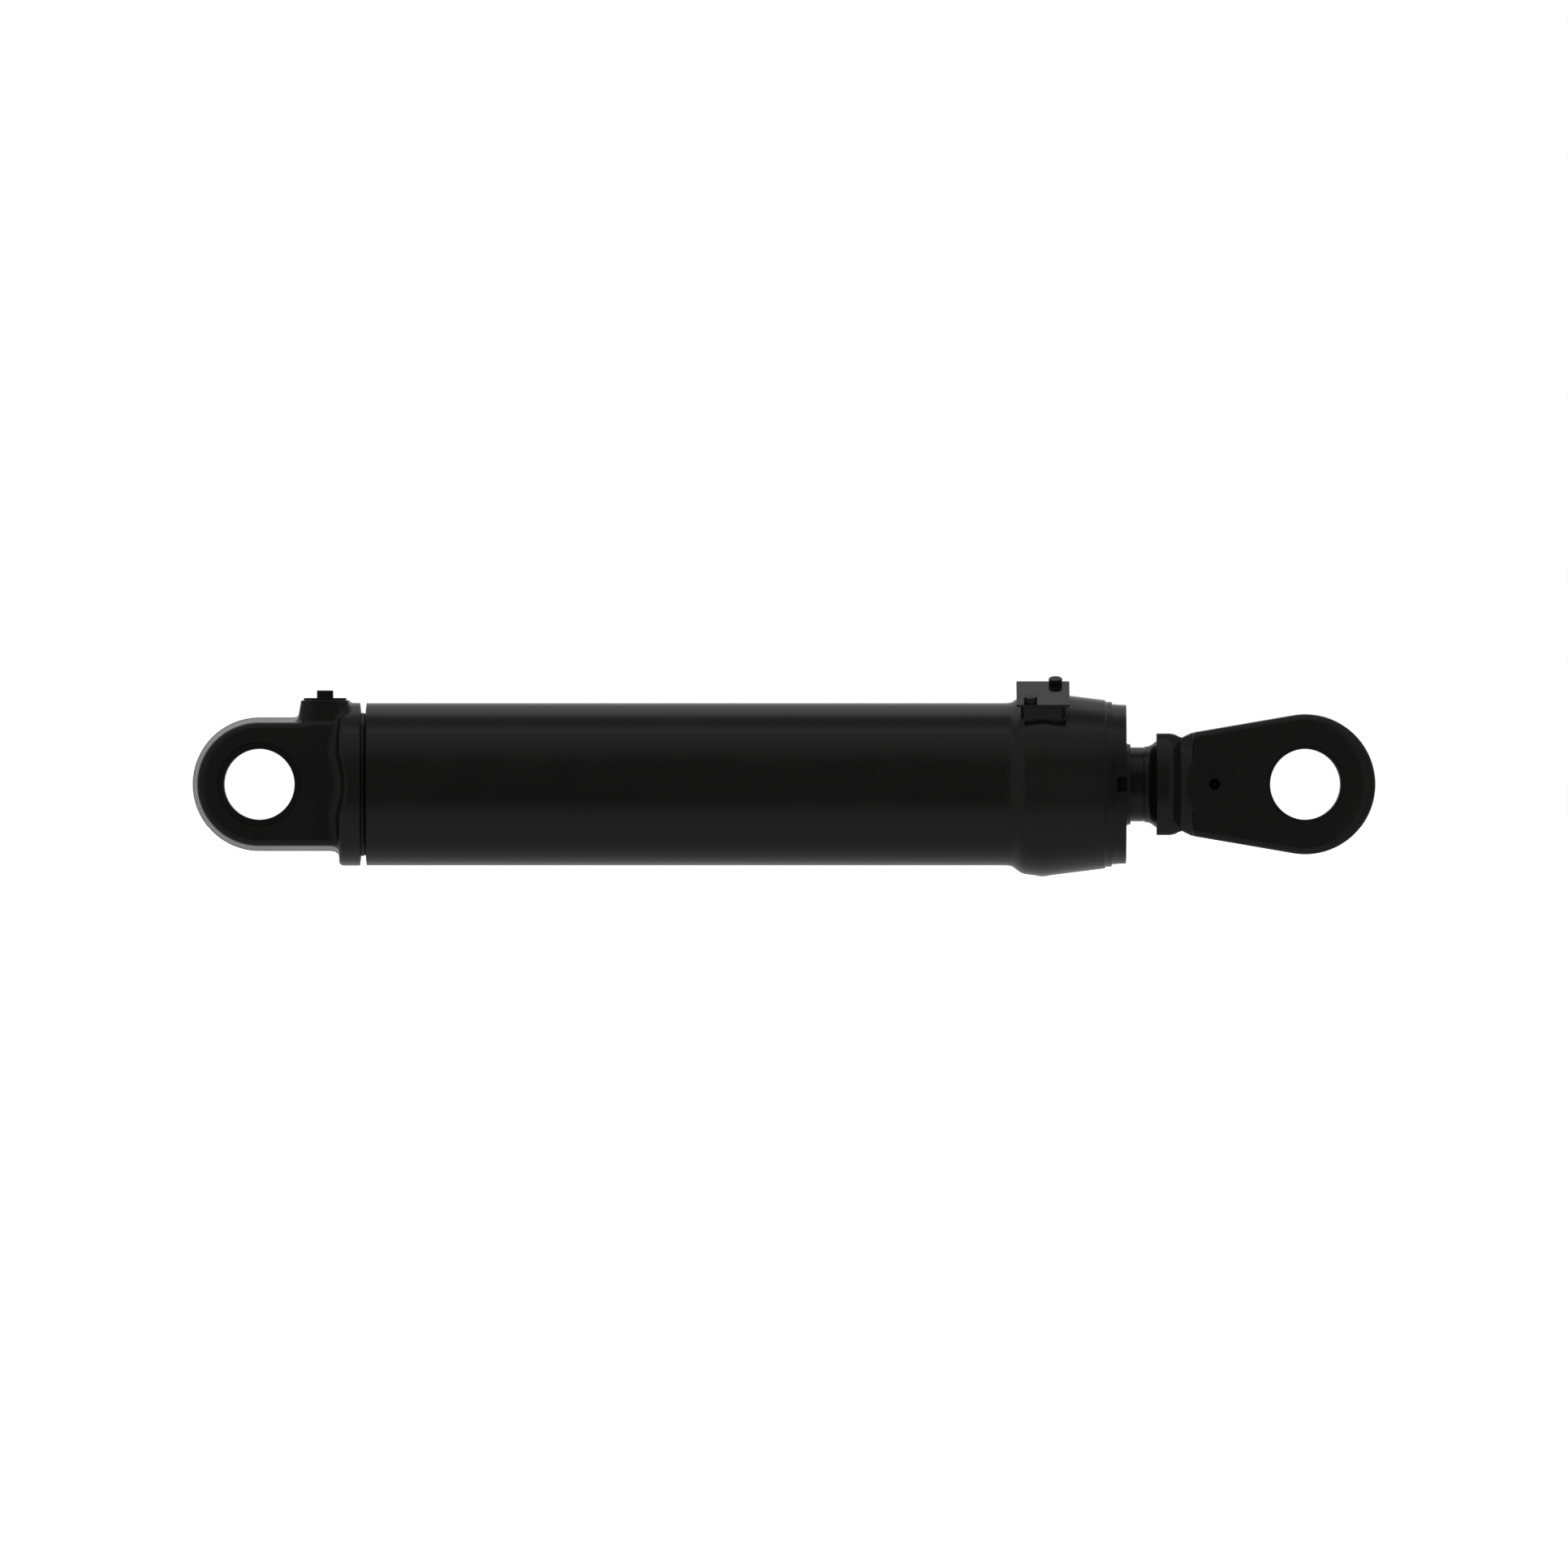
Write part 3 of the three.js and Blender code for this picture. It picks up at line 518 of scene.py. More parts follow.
def slopes(field, p, h=0.04):
    """The field's gradient at each point."""
    grad = np.empty_like(p)
    for k in range(3):
        step = np.zeros(3)
        step[k] = h
        above, below = p + step, p - step
        grad[:, k] = (field(*above.T) - field(*below.T)) / (2 * h)
    return grad


def unit(v):
    return v / np.maximum(np.linalg.norm(v, axis=1, keepdims=True), 1e-12)


def crossings(field, axes, value, a):
    """Where grid edges along axis a cross the surface: grid indices, points, and which start inside."""
    inside = value < 0
    low = [slice(None)] * 3
    high = [slice(None)] * 3
    low[a], high[a] = slice(0, -1), slice(1, None)
    at = np.argwhere(inside[tuple(low)] != inside[tuple(high)])
    after = at.copy()
    after[:, a] += 1
    p = np.stack([axes[k][at[:, k]] for k in range(3)], 1)
    start, stop = p[:, a].copy(), axes[a][after[:, a]]
    f0, f1 = value[tuple(at.T)], value[tuple(after.T)]
    starts_inside = f0 < 0
    # False position, kept off the ends of the bracket
    for _ in range(4):
        p[:, a] = start + (stop - start) * np.clip(f0 / (f0 - f1), 0.02, 0.98)
        f = field(*p.T)
        same = (f < 0) == (f0 < 0)
        start, f0 = np.where(same, p[:, a], start), np.where(same, f, f0)
        stop, f1 = np.where(same, stop, p[:, a]), np.where(same, f1, f)
    p[:, a] = start + (stop - start) * f0 / (f0 - f1)
    return at, p, starts_inside


def contour(field, xs, ys, zs):
    """Dual contouring: points, quads and a normal for each quad corner."""
    axes = [xs, ys, zs]
    parts = np.array_split(xs, max(1, len(xs) // 10))
    value = np.concatenate(
        [field(part[:, None, None], ys[None, :, None], zs[None, None, :]) for part in parts]
    )
    shape = value.shape
    corner_cells, points, forward = [], [], []
    for a in range(3):
        b, c = (a + 1) % 3, (a + 2) % 3
        at, p, starts_inside = crossings(field, axes, value, a)
        around = []
        for db, dc in ((-1, -1), (0, -1), (0, 0), (-1, 0)):
            cell = at.copy()
            cell[:, b] += db
            cell[:, c] += dc
            around.append(np.ravel_multi_index(tuple(cell.T), shape))
        corner_cells.append(np.stack(around, 1))
        points.append(p)
        forward.append(starts_inside)
    corner_cells = np.concatenate(corner_cells)
    points = np.concatenate(points)
    forward = np.concatenate(forward)
    normals = unit(slopes(field, points))

    ids, inverse = np.unique(corner_cells.ravel(), return_inverse=True)
    source = np.repeat(np.arange(len(points)), 4)
    n, p = normals[source], points[source]
    count = np.bincount(inverse, minlength=len(ids))
    mass = np.stack([np.bincount(inverse, p[:, k]) for k in range(3)], 1) / count[:, None]
    square = np.empty((len(ids), 3, 3))
    for i in range(3):
        for j in range(3):
            square[:, i, j] = np.bincount(inverse, n[:, i] * n[:, j]) + (PULL_TO_MIDDLE if i == j else 0)
    reach = np.einsum("ij,ij->i", n, p - mass[inverse])
    right = np.stack([np.bincount(inverse, n[:, k] * reach) for k in range(3)], 1)
    vertex = mass + np.linalg.solve(square, right[..., None])[..., 0]
    cell = np.stack(np.unravel_index(ids, shape), 1)
    low = np.stack([axes[k][cell[:, k]] for k in range(3)], 1)
    high = np.stack([axes[k][cell[:, k] + 1] for k in range(3)], 1)
    vertex = np.clip(vertex, low, high)
    grad = slopes(field, vertex)
    miss = field(*vertex.T) / np.maximum((grad**2).sum(1), 0.25)
    vertex = np.clip(vertex - miss[:, None] * grad, low, high)

    quads = inverse.reshape(-1, 4)
    quads = np.where(forward[:, None], quads, quads[:, ::-1])
    corner = vertex[quads]
    flat = unit(np.cross(corner[:, 2] - corner[:, 0], corner[:, 3] - corner[:, 1]))
    smooth = unit(slopes(field, vertex))[quads]
    agrees = np.einsum("qk,qck->qc", flat, smooth) > math.cos(CREASE)
    corner_normals = np.where(agrees[..., None], smooth, flat[:, None, :])
    return vertex, quads.tolist(), corner_normals.reshape(-1, 3)


def rotated(v, angle):
    cos, sin = math.cos(angle), math.sin(angle)
    return np.array([v[0] * cos - v[1] * sin, v[0] * sin + v[1] * cos])


def fillets(profile, steps):
    """(x, r, fillet) corners, counter-clockwise, as ((x, r), normal before, normal after) around them."""
    corners = [np.array(c[:2], float) for c in profile]
    radii = [c[2] if len(c) > 2 else 0 for c in profile]
    out = []
    for i, p in enumerate(corners):
        before = p - corners[i - 1]
        after = corners[(i + 1) % len(corners)] - p
        before, after = before / np.linalg.norm(before), after / np.linalg.norm(after)
        n0, n1 = np.array([before[1], -before[0]]), np.array([after[1], -after[0]])
        turn = math.atan2(before[0] * after[1] - before[1] * after[0], before @ after)
        if radii[i] <= 0 or abs(turn) < SHARP:
            out.append((p, n0, n1))
            continue
        hand = math.copysign(1, turn)
        start = p - before * radii[i] * math.tan(abs(turn) / 2)
        centre = start - n0 * radii[i] * hand
        for k in range(steps + 1):
            n = rotated(n0, turn * k / steps)
            out.append((centre + n * radii[i] * hand, n, n))
    return out


def turned(profile, segments, opening=0.0, steps=5, waves=None):
    """Sweeps (x, r, fillet) corners about the x axis. An opening, in radians, splits a ring."""
    ring = fillets(profile, steps)
    whole = opening <= 0
    count = segments if whole else segments + 1
    angles = opening / 2 + np.arange(count) * (2 * math.pi - opening) / segments
    cos, sin = np.cos(angles), np.sin(angles)
    points, index = [], []
    for p, _, _ in ring:
        if p[1] < ON_AXIS:
            index.append([len(points)] * count)
            points.append((p[0], 0.0, 0.0))
            continue
        index.append(list(range(len(points), len(points) + count)))
        for j in range(count):
            x, r = (p[0], p[1]) if waves is None else waves(p[0], p[1], angles[j])
            points.append((x, r * cos[j], r * sin[j]))
    faces, normals = [], []
    for i in range(len(ring)):
        k = (i + 1) % len(ring)
        if ring[i][0][1] < ON_AXIS and ring[k][0][1] < ON_AXIS:
            continue
        n0, n1 = ring[i][2], ring[k][1]
        for j in range(segments):
            m = (j + 1) % count
            around = [
                (index[i][j], n0, j),
                (index[k][j], n1, j),
                (index[k][m], n1, m),
                (index[i][m], n0, m),
            ]
            if around[1][0] == around[2][0]:
                around.pop(2)
            elif around[0][0] == around[3][0]:
                around.pop(3)
            faces.append([c[0] for c in around])
            normals += [(c[1][0], c[1][1] * cos[c[2]], c[1][1] * sin[c[2]]) for c in around]
    if not whole:
        for j, side in ((0, -1), (segments, 1)):
            face = [row[j] for row in index]
            faces.append(face[::side])
            normals += [(0.0, -sin[j] * side, cos[j] * side)] * len(face)
    return np.array(points), faces, np.array(normals)


# ---- Places: a rotation, then an offset in the cylinder's own frame ----

STRAIGHT = np.eye(3)
ALONG_Y = np.array([[0, -1, 0], [1, 0, 0], [0, 0, 1]], float)
LEANED = np.array(
    [
        [1, 0, 0],
        [0, math.cos(PORT_TILT), -math.sin(PORT_TILT)],
        [0, math.sin(PORT_TILT), math.cos(PORT_TILT)],
    ]
)
UPRIGHT = np.array([[0, 0, -1], [0, 1, 0], [1, 0, 0]], float)


def at_port(x, across, out):
    """Where a point of the leaned rod-end port's own frame lies in the cylinder's frame."""
    return LEANED @ (x, across, out) + (PORT_X, PORT_Y, 0)


body_of_node = {
    node: body for body, nodes in frame["record"]["behaviour"]["bodies"].items() for node in nodes
}


def piece(node, made, material, turn=STRAIGHT, at=(0, 0, 0), second=None):
    """Makes the piece that stands for a CAD node. second is (material, which faces have it)."""
    points, faces, normals = made
    placed = (points @ turn.T + np.array(at, float)) * MM + ORIGIN
    mesh = bpy.data.meshes.new(node + "_finished")
    mesh.from_pydata(placed.tolist(), [], faces)
    mesh.shade_smooth()
    if normals is not None:
        mesh.normals_split_custom_set((normals @ turn.T).tolist())
    mesh.materials.append(material)
    if second is not None:
        mesh.materials.append(second[0])
        middles = np.array([points[face].mean(0) for face in faces])
        mesh.polygons.foreach_set("material_index", second[1](*middles.T).astype(np.int32))
    obj = bpy.data.objects.new(node + "_finished", mesh)
    bpy.context.scene.collection.objects.link(obj)
    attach(obj, body_of_node[node])
    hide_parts(node)


# ---- Materials ----


class Graph:
    """A short way to write a node tree."""

    def __init__(self, tree):
        self.tree = tree
        tree.nodes.clear()

    def add(self, kind, settings=None, **inputs):
        node = self.tree.nodes.new(kind)
        for name, value in (settings or {}).items():
            setattr(node, name, value)
        for name, value in inputs.items():
            self.put(node.inputs[name.replace("_", " ")], value)
        return node

    def put(self, socket, value):
        if isinstance(value, bpy.types.NodeSocket):
            self.tree.links.new(value, socket)
        else:
            socket.default_value = value

    def math(self, operation, *values):
        node = self.add("ShaderNodeMath", {"operation": operation})
        for socket, value in zip(node.inputs, values):
            self.put(socket, value)
        return node.outputs[0]

    def noise(self, vector, scale, detail=2.0, rough=0.5):
        node = self.add("ShaderNodeTexNoise", Vector=vector, Scale=scale, Detail=detail, Roughness=rough)
        return node.outputs["Fac"]

    def spread(self, value, low, high, out_low, out_high):
        """Maps low..high to out_low..out_high, and holds it there outside."""
        ends = {"From_Min": low, "From_Max": high, "To_Min": out_low, "To_Max": out_high}
        return self.add("ShaderNodeMapRange", Value=value, **ends).outputs["Result"]

    def blend(self, one, share, other):
        rest = self.math("MULTIPLY", other, 1 - share)
        return self.math("ADD", self.math("MULTIPLY", one, share), rest)

    def tint(self, factor, low, high):
        node = self.add("ShaderNodeMix", {"data_type": "RGBA"})
        self.put(node.inputs["Factor"], factor)
        self.put(node.inputs[6], (*low, 1))
        self.put(node.inputs[7], (*high, 1))
        return node.outputs[2]

    def bump(self, height, distance, before=None):
        node = self.add("ShaderNodeBump", Height=height, Strength=1.0, Distance=distance)
        if before is not None:
            self.put(node.inputs["Normal"], before)
        return node.outputs["Normal"]


def shader(name, build, metallic=0.0, ior=1.5):
    """A Principled material whose colour, roughness and normal come from build(graph, coordinates)."""
    material = bpy.data.materials.new(name)
    material.use_nodes = True
    g = Graph(material.node_tree)
    where = g.add("ShaderNodeTexCoord").outputs["Object"]
    colour, roughness, normal = build(g, where)
    surface = g.add("ShaderNodeBsdfPrincipled", Metallic=metallic, IOR=ior)
    g.put(surface.inputs["Base Color"], colour)
    g.put(surface.inputs["Roughness"], roughness)
    if normal is not None:
        g.put(surface.inputs["Normal"], normal)
    out = g.add("ShaderNodeOutputMaterial")
    g.put(out.inputs["Surface"], surface.outputs["BSDF"])
    return material


def parts_of(g, where):
    split = g.add("ShaderNodeSeparateXYZ", Vector=where)
    return split.outputs[0], split.outputs[1], split.outputs[2]


def greys(low, high):
    """Two near-black greys, a touch warm."""
    return (low, low, low * 0.94), (high, high, high * 0.94)


def paint(tones, roughness, peel, cast=0.0):
    """Black paint: orange peel, a hint of the surface under it, and patches a little duller."""

    def build(g, where):
        patch = g.noise(where, 14.0, 3.0)
        fine = g.noise(where, 160.0, 2.0)
        colour = g.tint(g.spread(patch, 0.3, 0.7, 0, 1), *tones)
        dull = g.math("ADD", g.spread(patch, 0.3, 0.7, -0.02, 0.03), g.spread(fine, 0.3, 0.7, -0.01, 0.015))
        normal = g.bump(g.noise(where, 420.0, 1.0), peel)
        if cast > 0:
            normal = g.bump(g.noise(where, 90.0, 4.0, 0.6), cast, normal)
        return colour, g.math("ADD", dull, roughness), normal

    return build


def turned_finish(tones, across, roughness, pitch, depth):
    """Fine tool marks that follow each other across "x", "y" or the "radius" about the centre line."""

    def build(g, where):
        x, y, z = parts_of(g, where)
        if across == "radius":
            up = g.math("SUBTRACT", z, float(ORIGIN[Z]))
            squares = g.math("ADD", g.math("MULTIPLY", y, y), g.math("MULTIPLY", up, up))
            place = g.math("SQRT", squares)
        else:
            place = x if across == "x" else y
        drift = g.noise(where, 9.0, 2.0)
        lay = g.add("ShaderNodeCombineXYZ", X=place, Y=g.math("MULTIPLY", drift, 0.004)).outputs[0]
        marks = g.noise(lay, 1.0 / pitch, 3.0, 0.7)
        colour = g.tint(g.spread(g.blend(marks, 0.6, drift), 0.35, 0.65, 0, 1), *tones)
        rough = g.math("ADD", g.spread(marks, 0.3, 0.7, -0.05, 0.07), roughness)
        return colour, rough, g.bump(marks, depth)

    return build


def soft_finish(tones, roughness, grain, depth):
    """A fine even grain with faint flow marks, for rubber, resin and plated parts."""

    def build(g, where):
        flow = g.noise(where, 60.0, 3.0)
        speck = g.noise(where, grain, 2.0)
        colour = g.tint(g.spread(g.blend(flow, 0.5, speck), 0.35, 0.65, 0, 1), *tones)
        rough = g.math("ADD", g.spread(speck, 0.3, 0.7, -0.06, 0.06), roughness)
        return colour, rough, g.bump(speck, depth)

    return build


def weld_with_painted_highlight(g, where):
    """Painted weld metal, uneven from the heat. Its greys are lighter than the paint beside it: a painted
    highlight on the crest that makes up for the shade of the groove's walls.
    """
    heat = g.noise(where, 120.0, 4.0, 0.65)
    # Painted highlight: these greys are lighter than the neighbouring paint's.
    colour = g.tint(g.spread(heat, 0.3, 0.7, 0, 1), (0.016, 0.016, 0.0155), (0.034, 0.033, 0.031))
    rough = g.spread(heat, 0.3, 0.7, 0.28, 0.42)
    return colour, rough, g.bump(g.noise(where, 500.0, 2.0), 0.00005)


STEEL_TONES = ((0.26, 0.26, 0.25), (0.38, 0.38, 0.37))
POLYURETHANE_TONES = ((0.006, 0.0065, 0.008), (0.009, 0.01, 0.012))
RESIN_TONES = ((0.1, 0.065, 0.03), (0.2, 0.14, 0.07))

forged_paint = shader("black_paint_on_forging", paint(greys(0.0145, 0.0205), 0.17, 12e-6, 60e-6))
tube_paint = shader("black_paint_on_tube", paint(greys(0.0145, 0.0195), 0.14, 8e-6))
gloss_paint = shader("black_paint_on_plate", paint(greys(0.0145, 0.0185), 0.09, 5e-6))
nitrided = shader(
    "black_nitrided_rod", turned_finish(greys(0.003, 0.0055), "x", 0.13, 0.0011, 3e-6)
)
gland_face = shader(
    "turned_gland_face", turned_finish(greys(0.010, 0.0155), "radius", 0.2, 0.0013, 6e-6)
)
steel = shader(
    "machined_steel", turned_finish(STEEL_TONES, "x", 0.3, 0.0009, 10e-6), metallic=1.0
)
phosphated = shader(
    "phosphated_steel", turned_finish(greys(0.007, 0.011), "y", 0.42, 0.0008, 5e-6)
)
weld = shader("weld_bead_painted_highlight", weld_with_painted_highlight)
# Painted shade: a near-black colour on the faces of the gland's spanner slots and the rod eye's grease
# pocket, standing for the shade inside these recesses.
recess_painted_shade = shader(
    "recess_painted_shade_material", soft_finish(greys(0.003, 0.006), 0.6, 700.0, 10e-6), ior=1.3
)
dull_zinc = shader(
    "dull_black_zinc", soft_finish(greys(0.021, 0.027), 0.5, 900.0, 0.8e-6), ior=1.3
)
zinc = shader("black_zinc", soft_finish(greys(0.012, 0.017), 0.3, 900.0, 0.8e-6), ior=1.46)
rubber = shader("black_rubber", soft_finish(greys(0.0035, 0.006), 0.62, 1500.0, 10e-6))
polyurethane = shader(
    "dark_polyurethane", soft_finish(POLYURETHANE_TONES, 0.3, 1200.0, 4e-6)
)
guide_resin = shader("guide_resin", soft_finish(RESIN_TONES, 0.6, 2200.0, 10e-6))

# ---- The barrel ----

piece(
    "cap_end_eye",
    contour(
        cap_end_eye,
        lines((-84, 90, 2.0), (90, 118, 1.3), (118, 124, 0.7), (124, 137, 2.2)),
        lines(
            (-101, -60, 2.4),
            (-60, -40, 1.5),
            (-40, -3, 2.3),
            (-3, 3, 0.75),
            (3, 40, 2.3),
            (40, 60, 1.5),
            (60, 101, 2.4),
        ),
        lines((-101, 78, 2.1), (78, 98, 1.4), (98, 103, 0.6)),
    ),
    forged_paint,
)


def bead_waves(x, r, angle):
    """The ripples of a weld bead, laid as overlapping crescents."""
    top = max(0.0, r - WELD_FLOOR_R)
    phase = angle * WELD_RIPPLES + 0.35 * (x - WELD_X) ** 2
    slow = 0.15 * math.sin(3 * angle) + 0.1 * math.sin(7 * angle + 1)
    ripple = 0.22 * math.sin(phase) + 0.08 * math.sin(2 * phase + 0.7)
    return x, r + (ripple + slow) * min(1.0, top / 1.5)


def bead_profile():
    """A low crown that stands on the spigot between the cap-end eye and the tube."""
    low, high = span("root_weld", X)
    half = high - WELD_X
    crown = [
        (WELD_X + half * c, BEAD_EDGE_R + BEAD_RISE * math.sqrt(1 - c * c))
        for c in (0.85, 0.6, 0.3, 0, -0.3, -0.6, -0.85)
    ]
    return [(low, BORE_R), (high, BORE_R), (high, BEAD_EDGE_R), *crown, (low, BEAD_EDGE_R)]


bead_segments = 900
piece("root_weld", turned(bead_profile(), bead_segments, waves=bead_waves), weld)
piece(
    "barrel_tube",
    turned(
        [
            (TUBE_ROOT_X, BORE_R),
            (HEAD_X, BORE_R),
            (HEAD_X, TUBE_R),
            (TUBE_EDGE_X, TUBE_R, 0.7),
            (TUBE_ROOT_X, TUBE_ROOT_R),
        ],
        256,
    ),
    tube_paint,
)
piece(
    "head_forging",
    contour(
        head_forging,
        lines((HEAD_X - 3, 910, 1.8), (910, 978, 1.1), (978, 1010, 2.2), (1010, HEAD_END_X + 3, 1.3)),
        lines((-114, -95, 2.2), (-95, -64, 1.3), (-64, 114, 2.2)),
        lines((-114, 66, 2.4), (66, 124, 1.4)),
    ),
    forged_paint,
)


def in_spanner_slot(x, y, z):
    narrow = np.minimum(np.abs(y), np.abs(z)) < SLOT_HALF + 0.1
    in_reach = np.abs(x - GLAND_END_X + SLOT_DEEP / 2) < SLOT_DEEP / 2 + 0.1
    return narrow & in_reach & (np.hypot(y, z) > SLOT_BOTTOM_R - 0.5)


piece(
    "gland",
    contour(
        gland,
        lines((GLAND_X - 4, 1022, 2.6), (1022, GLAND_END_X + 2, 1.0)),
        lines((-99, 99, 2.0)),
        lines((-99, 99, 2.0)),
    ),
    gland_face,
    # the spanner slots' faces get painted shade
    second=(recess_painted_shade, in_spanner_slot),
)

cover_foot = PAD_TOP + GAP
piece(
    "rod_port_cover",
    contour(
        port_cover,
        lines((-32.6, -31, 0.25), (-31, 31, 1.2), (31, 32.6, 0.25)),
        lines((-39.9, -38.3, 0.25), (-38.3, 38.3, 1.2), (38.3, 39.9, 0.25)),
        lines((-2.4, 2.4, 0.2)),
    ),
    gloss_paint,
    LEANED,
    at_port(0, 0, cover_foot + COVER_THICK / 2),
)
low_head_screw = [
    (-23, 0),
    (7.2, 0),
    (7.2, 7.3, 0.15),
    (6.4, 8.1, 0.15),
    (0, 8.1, 0.1),
    (0, 4.7),
    (-23, 4.7, 0.5),
]
for node, side in (("rod_port_screw_rear", 1), ("rod_port_screw_front", -1)):
    seat = at_port(side * BOLT_HALF_X, side * BOLT_HALF_Y, cover_foot + COVER_THICK + GAP)
    piece(node, turned(low_head_screw, 96), zinc, LEANED @ UPRIGHT, seat)
piece(
    "cap_port_plug",
    contour(
        port_plug,
        lines((-27, 27, 0.45)),
        lines((-27, 27, 0.45)),
        lines((-23.1, -1, 1.5), (-1, 3.4, 0.2), (3.4, 11.2, 0.5), (11.2, 12.4, 0.2)),
    ),
    dull_zinc,
    STRAIGHT,
    (BOSS_X, 0, BOSS_TOP_Z + GAP),
)


def o_ring(reach, radius, count=20):
    """A ring of round section: reach is the section's radius. It is shaded smooth across its facets."""
    angles = np.arange(count) * 2 * math.pi / count
    profile = [(reach * math.cos(t), radius + reach * math.sin(t)) for t in angles]
    points, faces, _ = turned(profile, 128)
    return points, faces, None


def boxed_o_ring(node, axis):
    """An O-ring that fills its CAD box. It is thin along its own axis."""
    low, high = span(node, axis)
    wide_low, wide_high = span(node, Y)
    reach = (high - low) / 2
    return o_ring(reach, (wide_high - wide_low) / 2 - reach)


for node, axis, turn, at in (
    ("gland_o_ring", X, STRAIGHT, (middle("gland_o_ring", X), 0, 0)),
    ("cap_port_o_ring", Z, UPRIGHT, (BOSS_X, 0, middle("cap_port_o_ring", Z))),
    ("piston_o_ring", X, STRAIGHT, (middle("piston_o_ring", X), 0, 0)),
    ("piston_seal_energiser", X, STRAIGHT, (middle("piston_seal_energiser", X), 0, 0)),
):
    piece(node, boxed_o_ring(node, axis), rubber, turn, at)
cover_ring = o_ring(COVER_RING_SECTION, COVER_RING_R, 16)
piece("rod_port_o_ring", cover_ring, rubber, LEANED @ UPRIGHT, at_port(0, 0, PAD_TOP - 1))


def square_ring(low, high, inner, outer, edge, opening=0.0):
    """A ring of square section, from low to high along x and from inner to outer radius."""
    profile = [(low, inner, edge), (high, inner, edge), (high, outer, edge), (low, outer, edge)]
    return turned(profile, 160, opening, 3)


def plain_ring(node, inner, edge=0.4, opening=0.0):
    """A ring of square section about the x axis, as long and as wide as its CAD box."""
    return square_ring(*span(node, X), inner, span(node, Y)[1], edge, opening)


def pin_ring(node, inner, outer, edge):
    """A ring for a pin bore, as long as its CAD box. It is made about x, with its middle at x = 0."""
    low, high = span(node, Y)
    half = (high - low) / 2
    return square_ring(-half, half, inner, outer, edge)


piece("gland_backup_ring", plain_ring("gland_backup_ring", 80.9, 0.2), guide_resin)
for node in ("rod_wear_ring_inner", "rod_wear_ring_outer"):
    piece(node, plain_ring(node, ROD_RING_R, 0.3, 0.06), guide_resin)
piece("rod_buffer_seal", plain_ring("rod_buffer_seal", ROD_RING_R), polyurethane)
piece("rod_seal", plain_ring("rod_seal", ROD_RING_R, 0.8), polyurethane)
wiper_low, wiper_high = span("rod_wiper", X)
piece(
    "rod_wiper",
    turned(
        [
            (wiper_low, 46.4, 0.3),
            (GLAND_END_X, 46.4, 1.0),
            (wiper_high - 1.0, ROD_RING_R, 0.3),
            (wiper_high, ROD_RING_R, 0.25),
            (wiper_high, 47.9, 1.2),
            (GLAND_END_X + 0.6, 49.0, 0.5),
            (GLAND_END_X - 0.5, 51.6, 0.3),
            (wiper_low, 51.6, 0.3),
        ],
        192,
    ),
    polyurethane,
)

cap_bush_r = CAP_BORE_R + TOUCH
piece("cap_eye_bush", pin_ring("cap_eye_bush", PIN_R, cap_bush_r, 0.4), phosphated, ALONG_Y)
for node in ("pin_seal_rear", "pin_seal_front"):
    at = (0, middle(node, Y), 0)
    piece(node, pin_ring(node, PIN_SEAL_R, cap_bush_r, 0.6), rubber, ALONG_Y, at)

# ---- Piston and its seals ----

for node in ("piston_wear_ring_cap_side", "piston_wear_ring_rod_side"):
    piece(node, plain_ring(node, 79.6, 0.4, 0.035), guide_resin)
piece("piston_seal", plain_ring("piston_seal", 77.6, 0.5), polyurethane)
piston_low, piston_high = span("piston", X)
piston_r = span("piston", Y)[1]
grooves = []
for low, high, radius in PISTON_GROOVES:
    grooves += [(high, piston_r, 0.4), (high, radius, 0.4), (low, radius, 0.4), (low, piston_r, 0.4)]
piece(
    "piston",
    turned(
        [
            (piston_low, PISTON_BORE_R),
            (192, PISTON_BORE_R),
            (192, 36),
            (197, 36),
            (197, PISTON_BORE_R),
            (piston_high, PISTON_BORE_R),
            (piston_high, piston_r - 2),
            (piston_high - 2, piston_r),
            *grooves,
            (piston_low + 2, piston_r),
            (piston_low, piston_r - 2),
        ],
        160,
        steps=3,
    ),
    steel,
)
nut_low, nut_high = span("piston_nut", X)
piece(
    "piston_nut",
    contour(
        piston_nut,
        lines((nut_low - 2, nut_high + 2, 1.5)),
        lines((-48, 48, 1.5)),
        lines((-48, 48, 1.5)),
    ),
    steel,
)

# ---- Rod and rod eye ----

rod_low, rod_high = span("piston_rod", X)
piece(
    "piston_rod",
    turned(
        [
            (rod_low, 0),
            (rod_high, 0),
            (rod_high, ROD_STUB_R, 1.0),
            (ROD_EYE_X - GAP, ROD_STUB_R),
            (ROD_EYE_X - GAP, ROD_R, 0.8),
            (piston_high + GAP + 2, ROD_R),
            (piston_high + GAP, ROD_R - 2),
            (piston_high + GAP, 32),
            (piston_low, 32),
            (piston_low, 27),
            (nut_low + 1, 27),
            (rod_low, 24.5),
        ],
        192,
    ),
    nitrided,
)


def in_grease_pocket(x, y, z):
    return (np.hypot(x - GREASE_X, z) < GREASE_POCKET_R + 0.15) & (y < GREASE_POCKET_Y + 6)


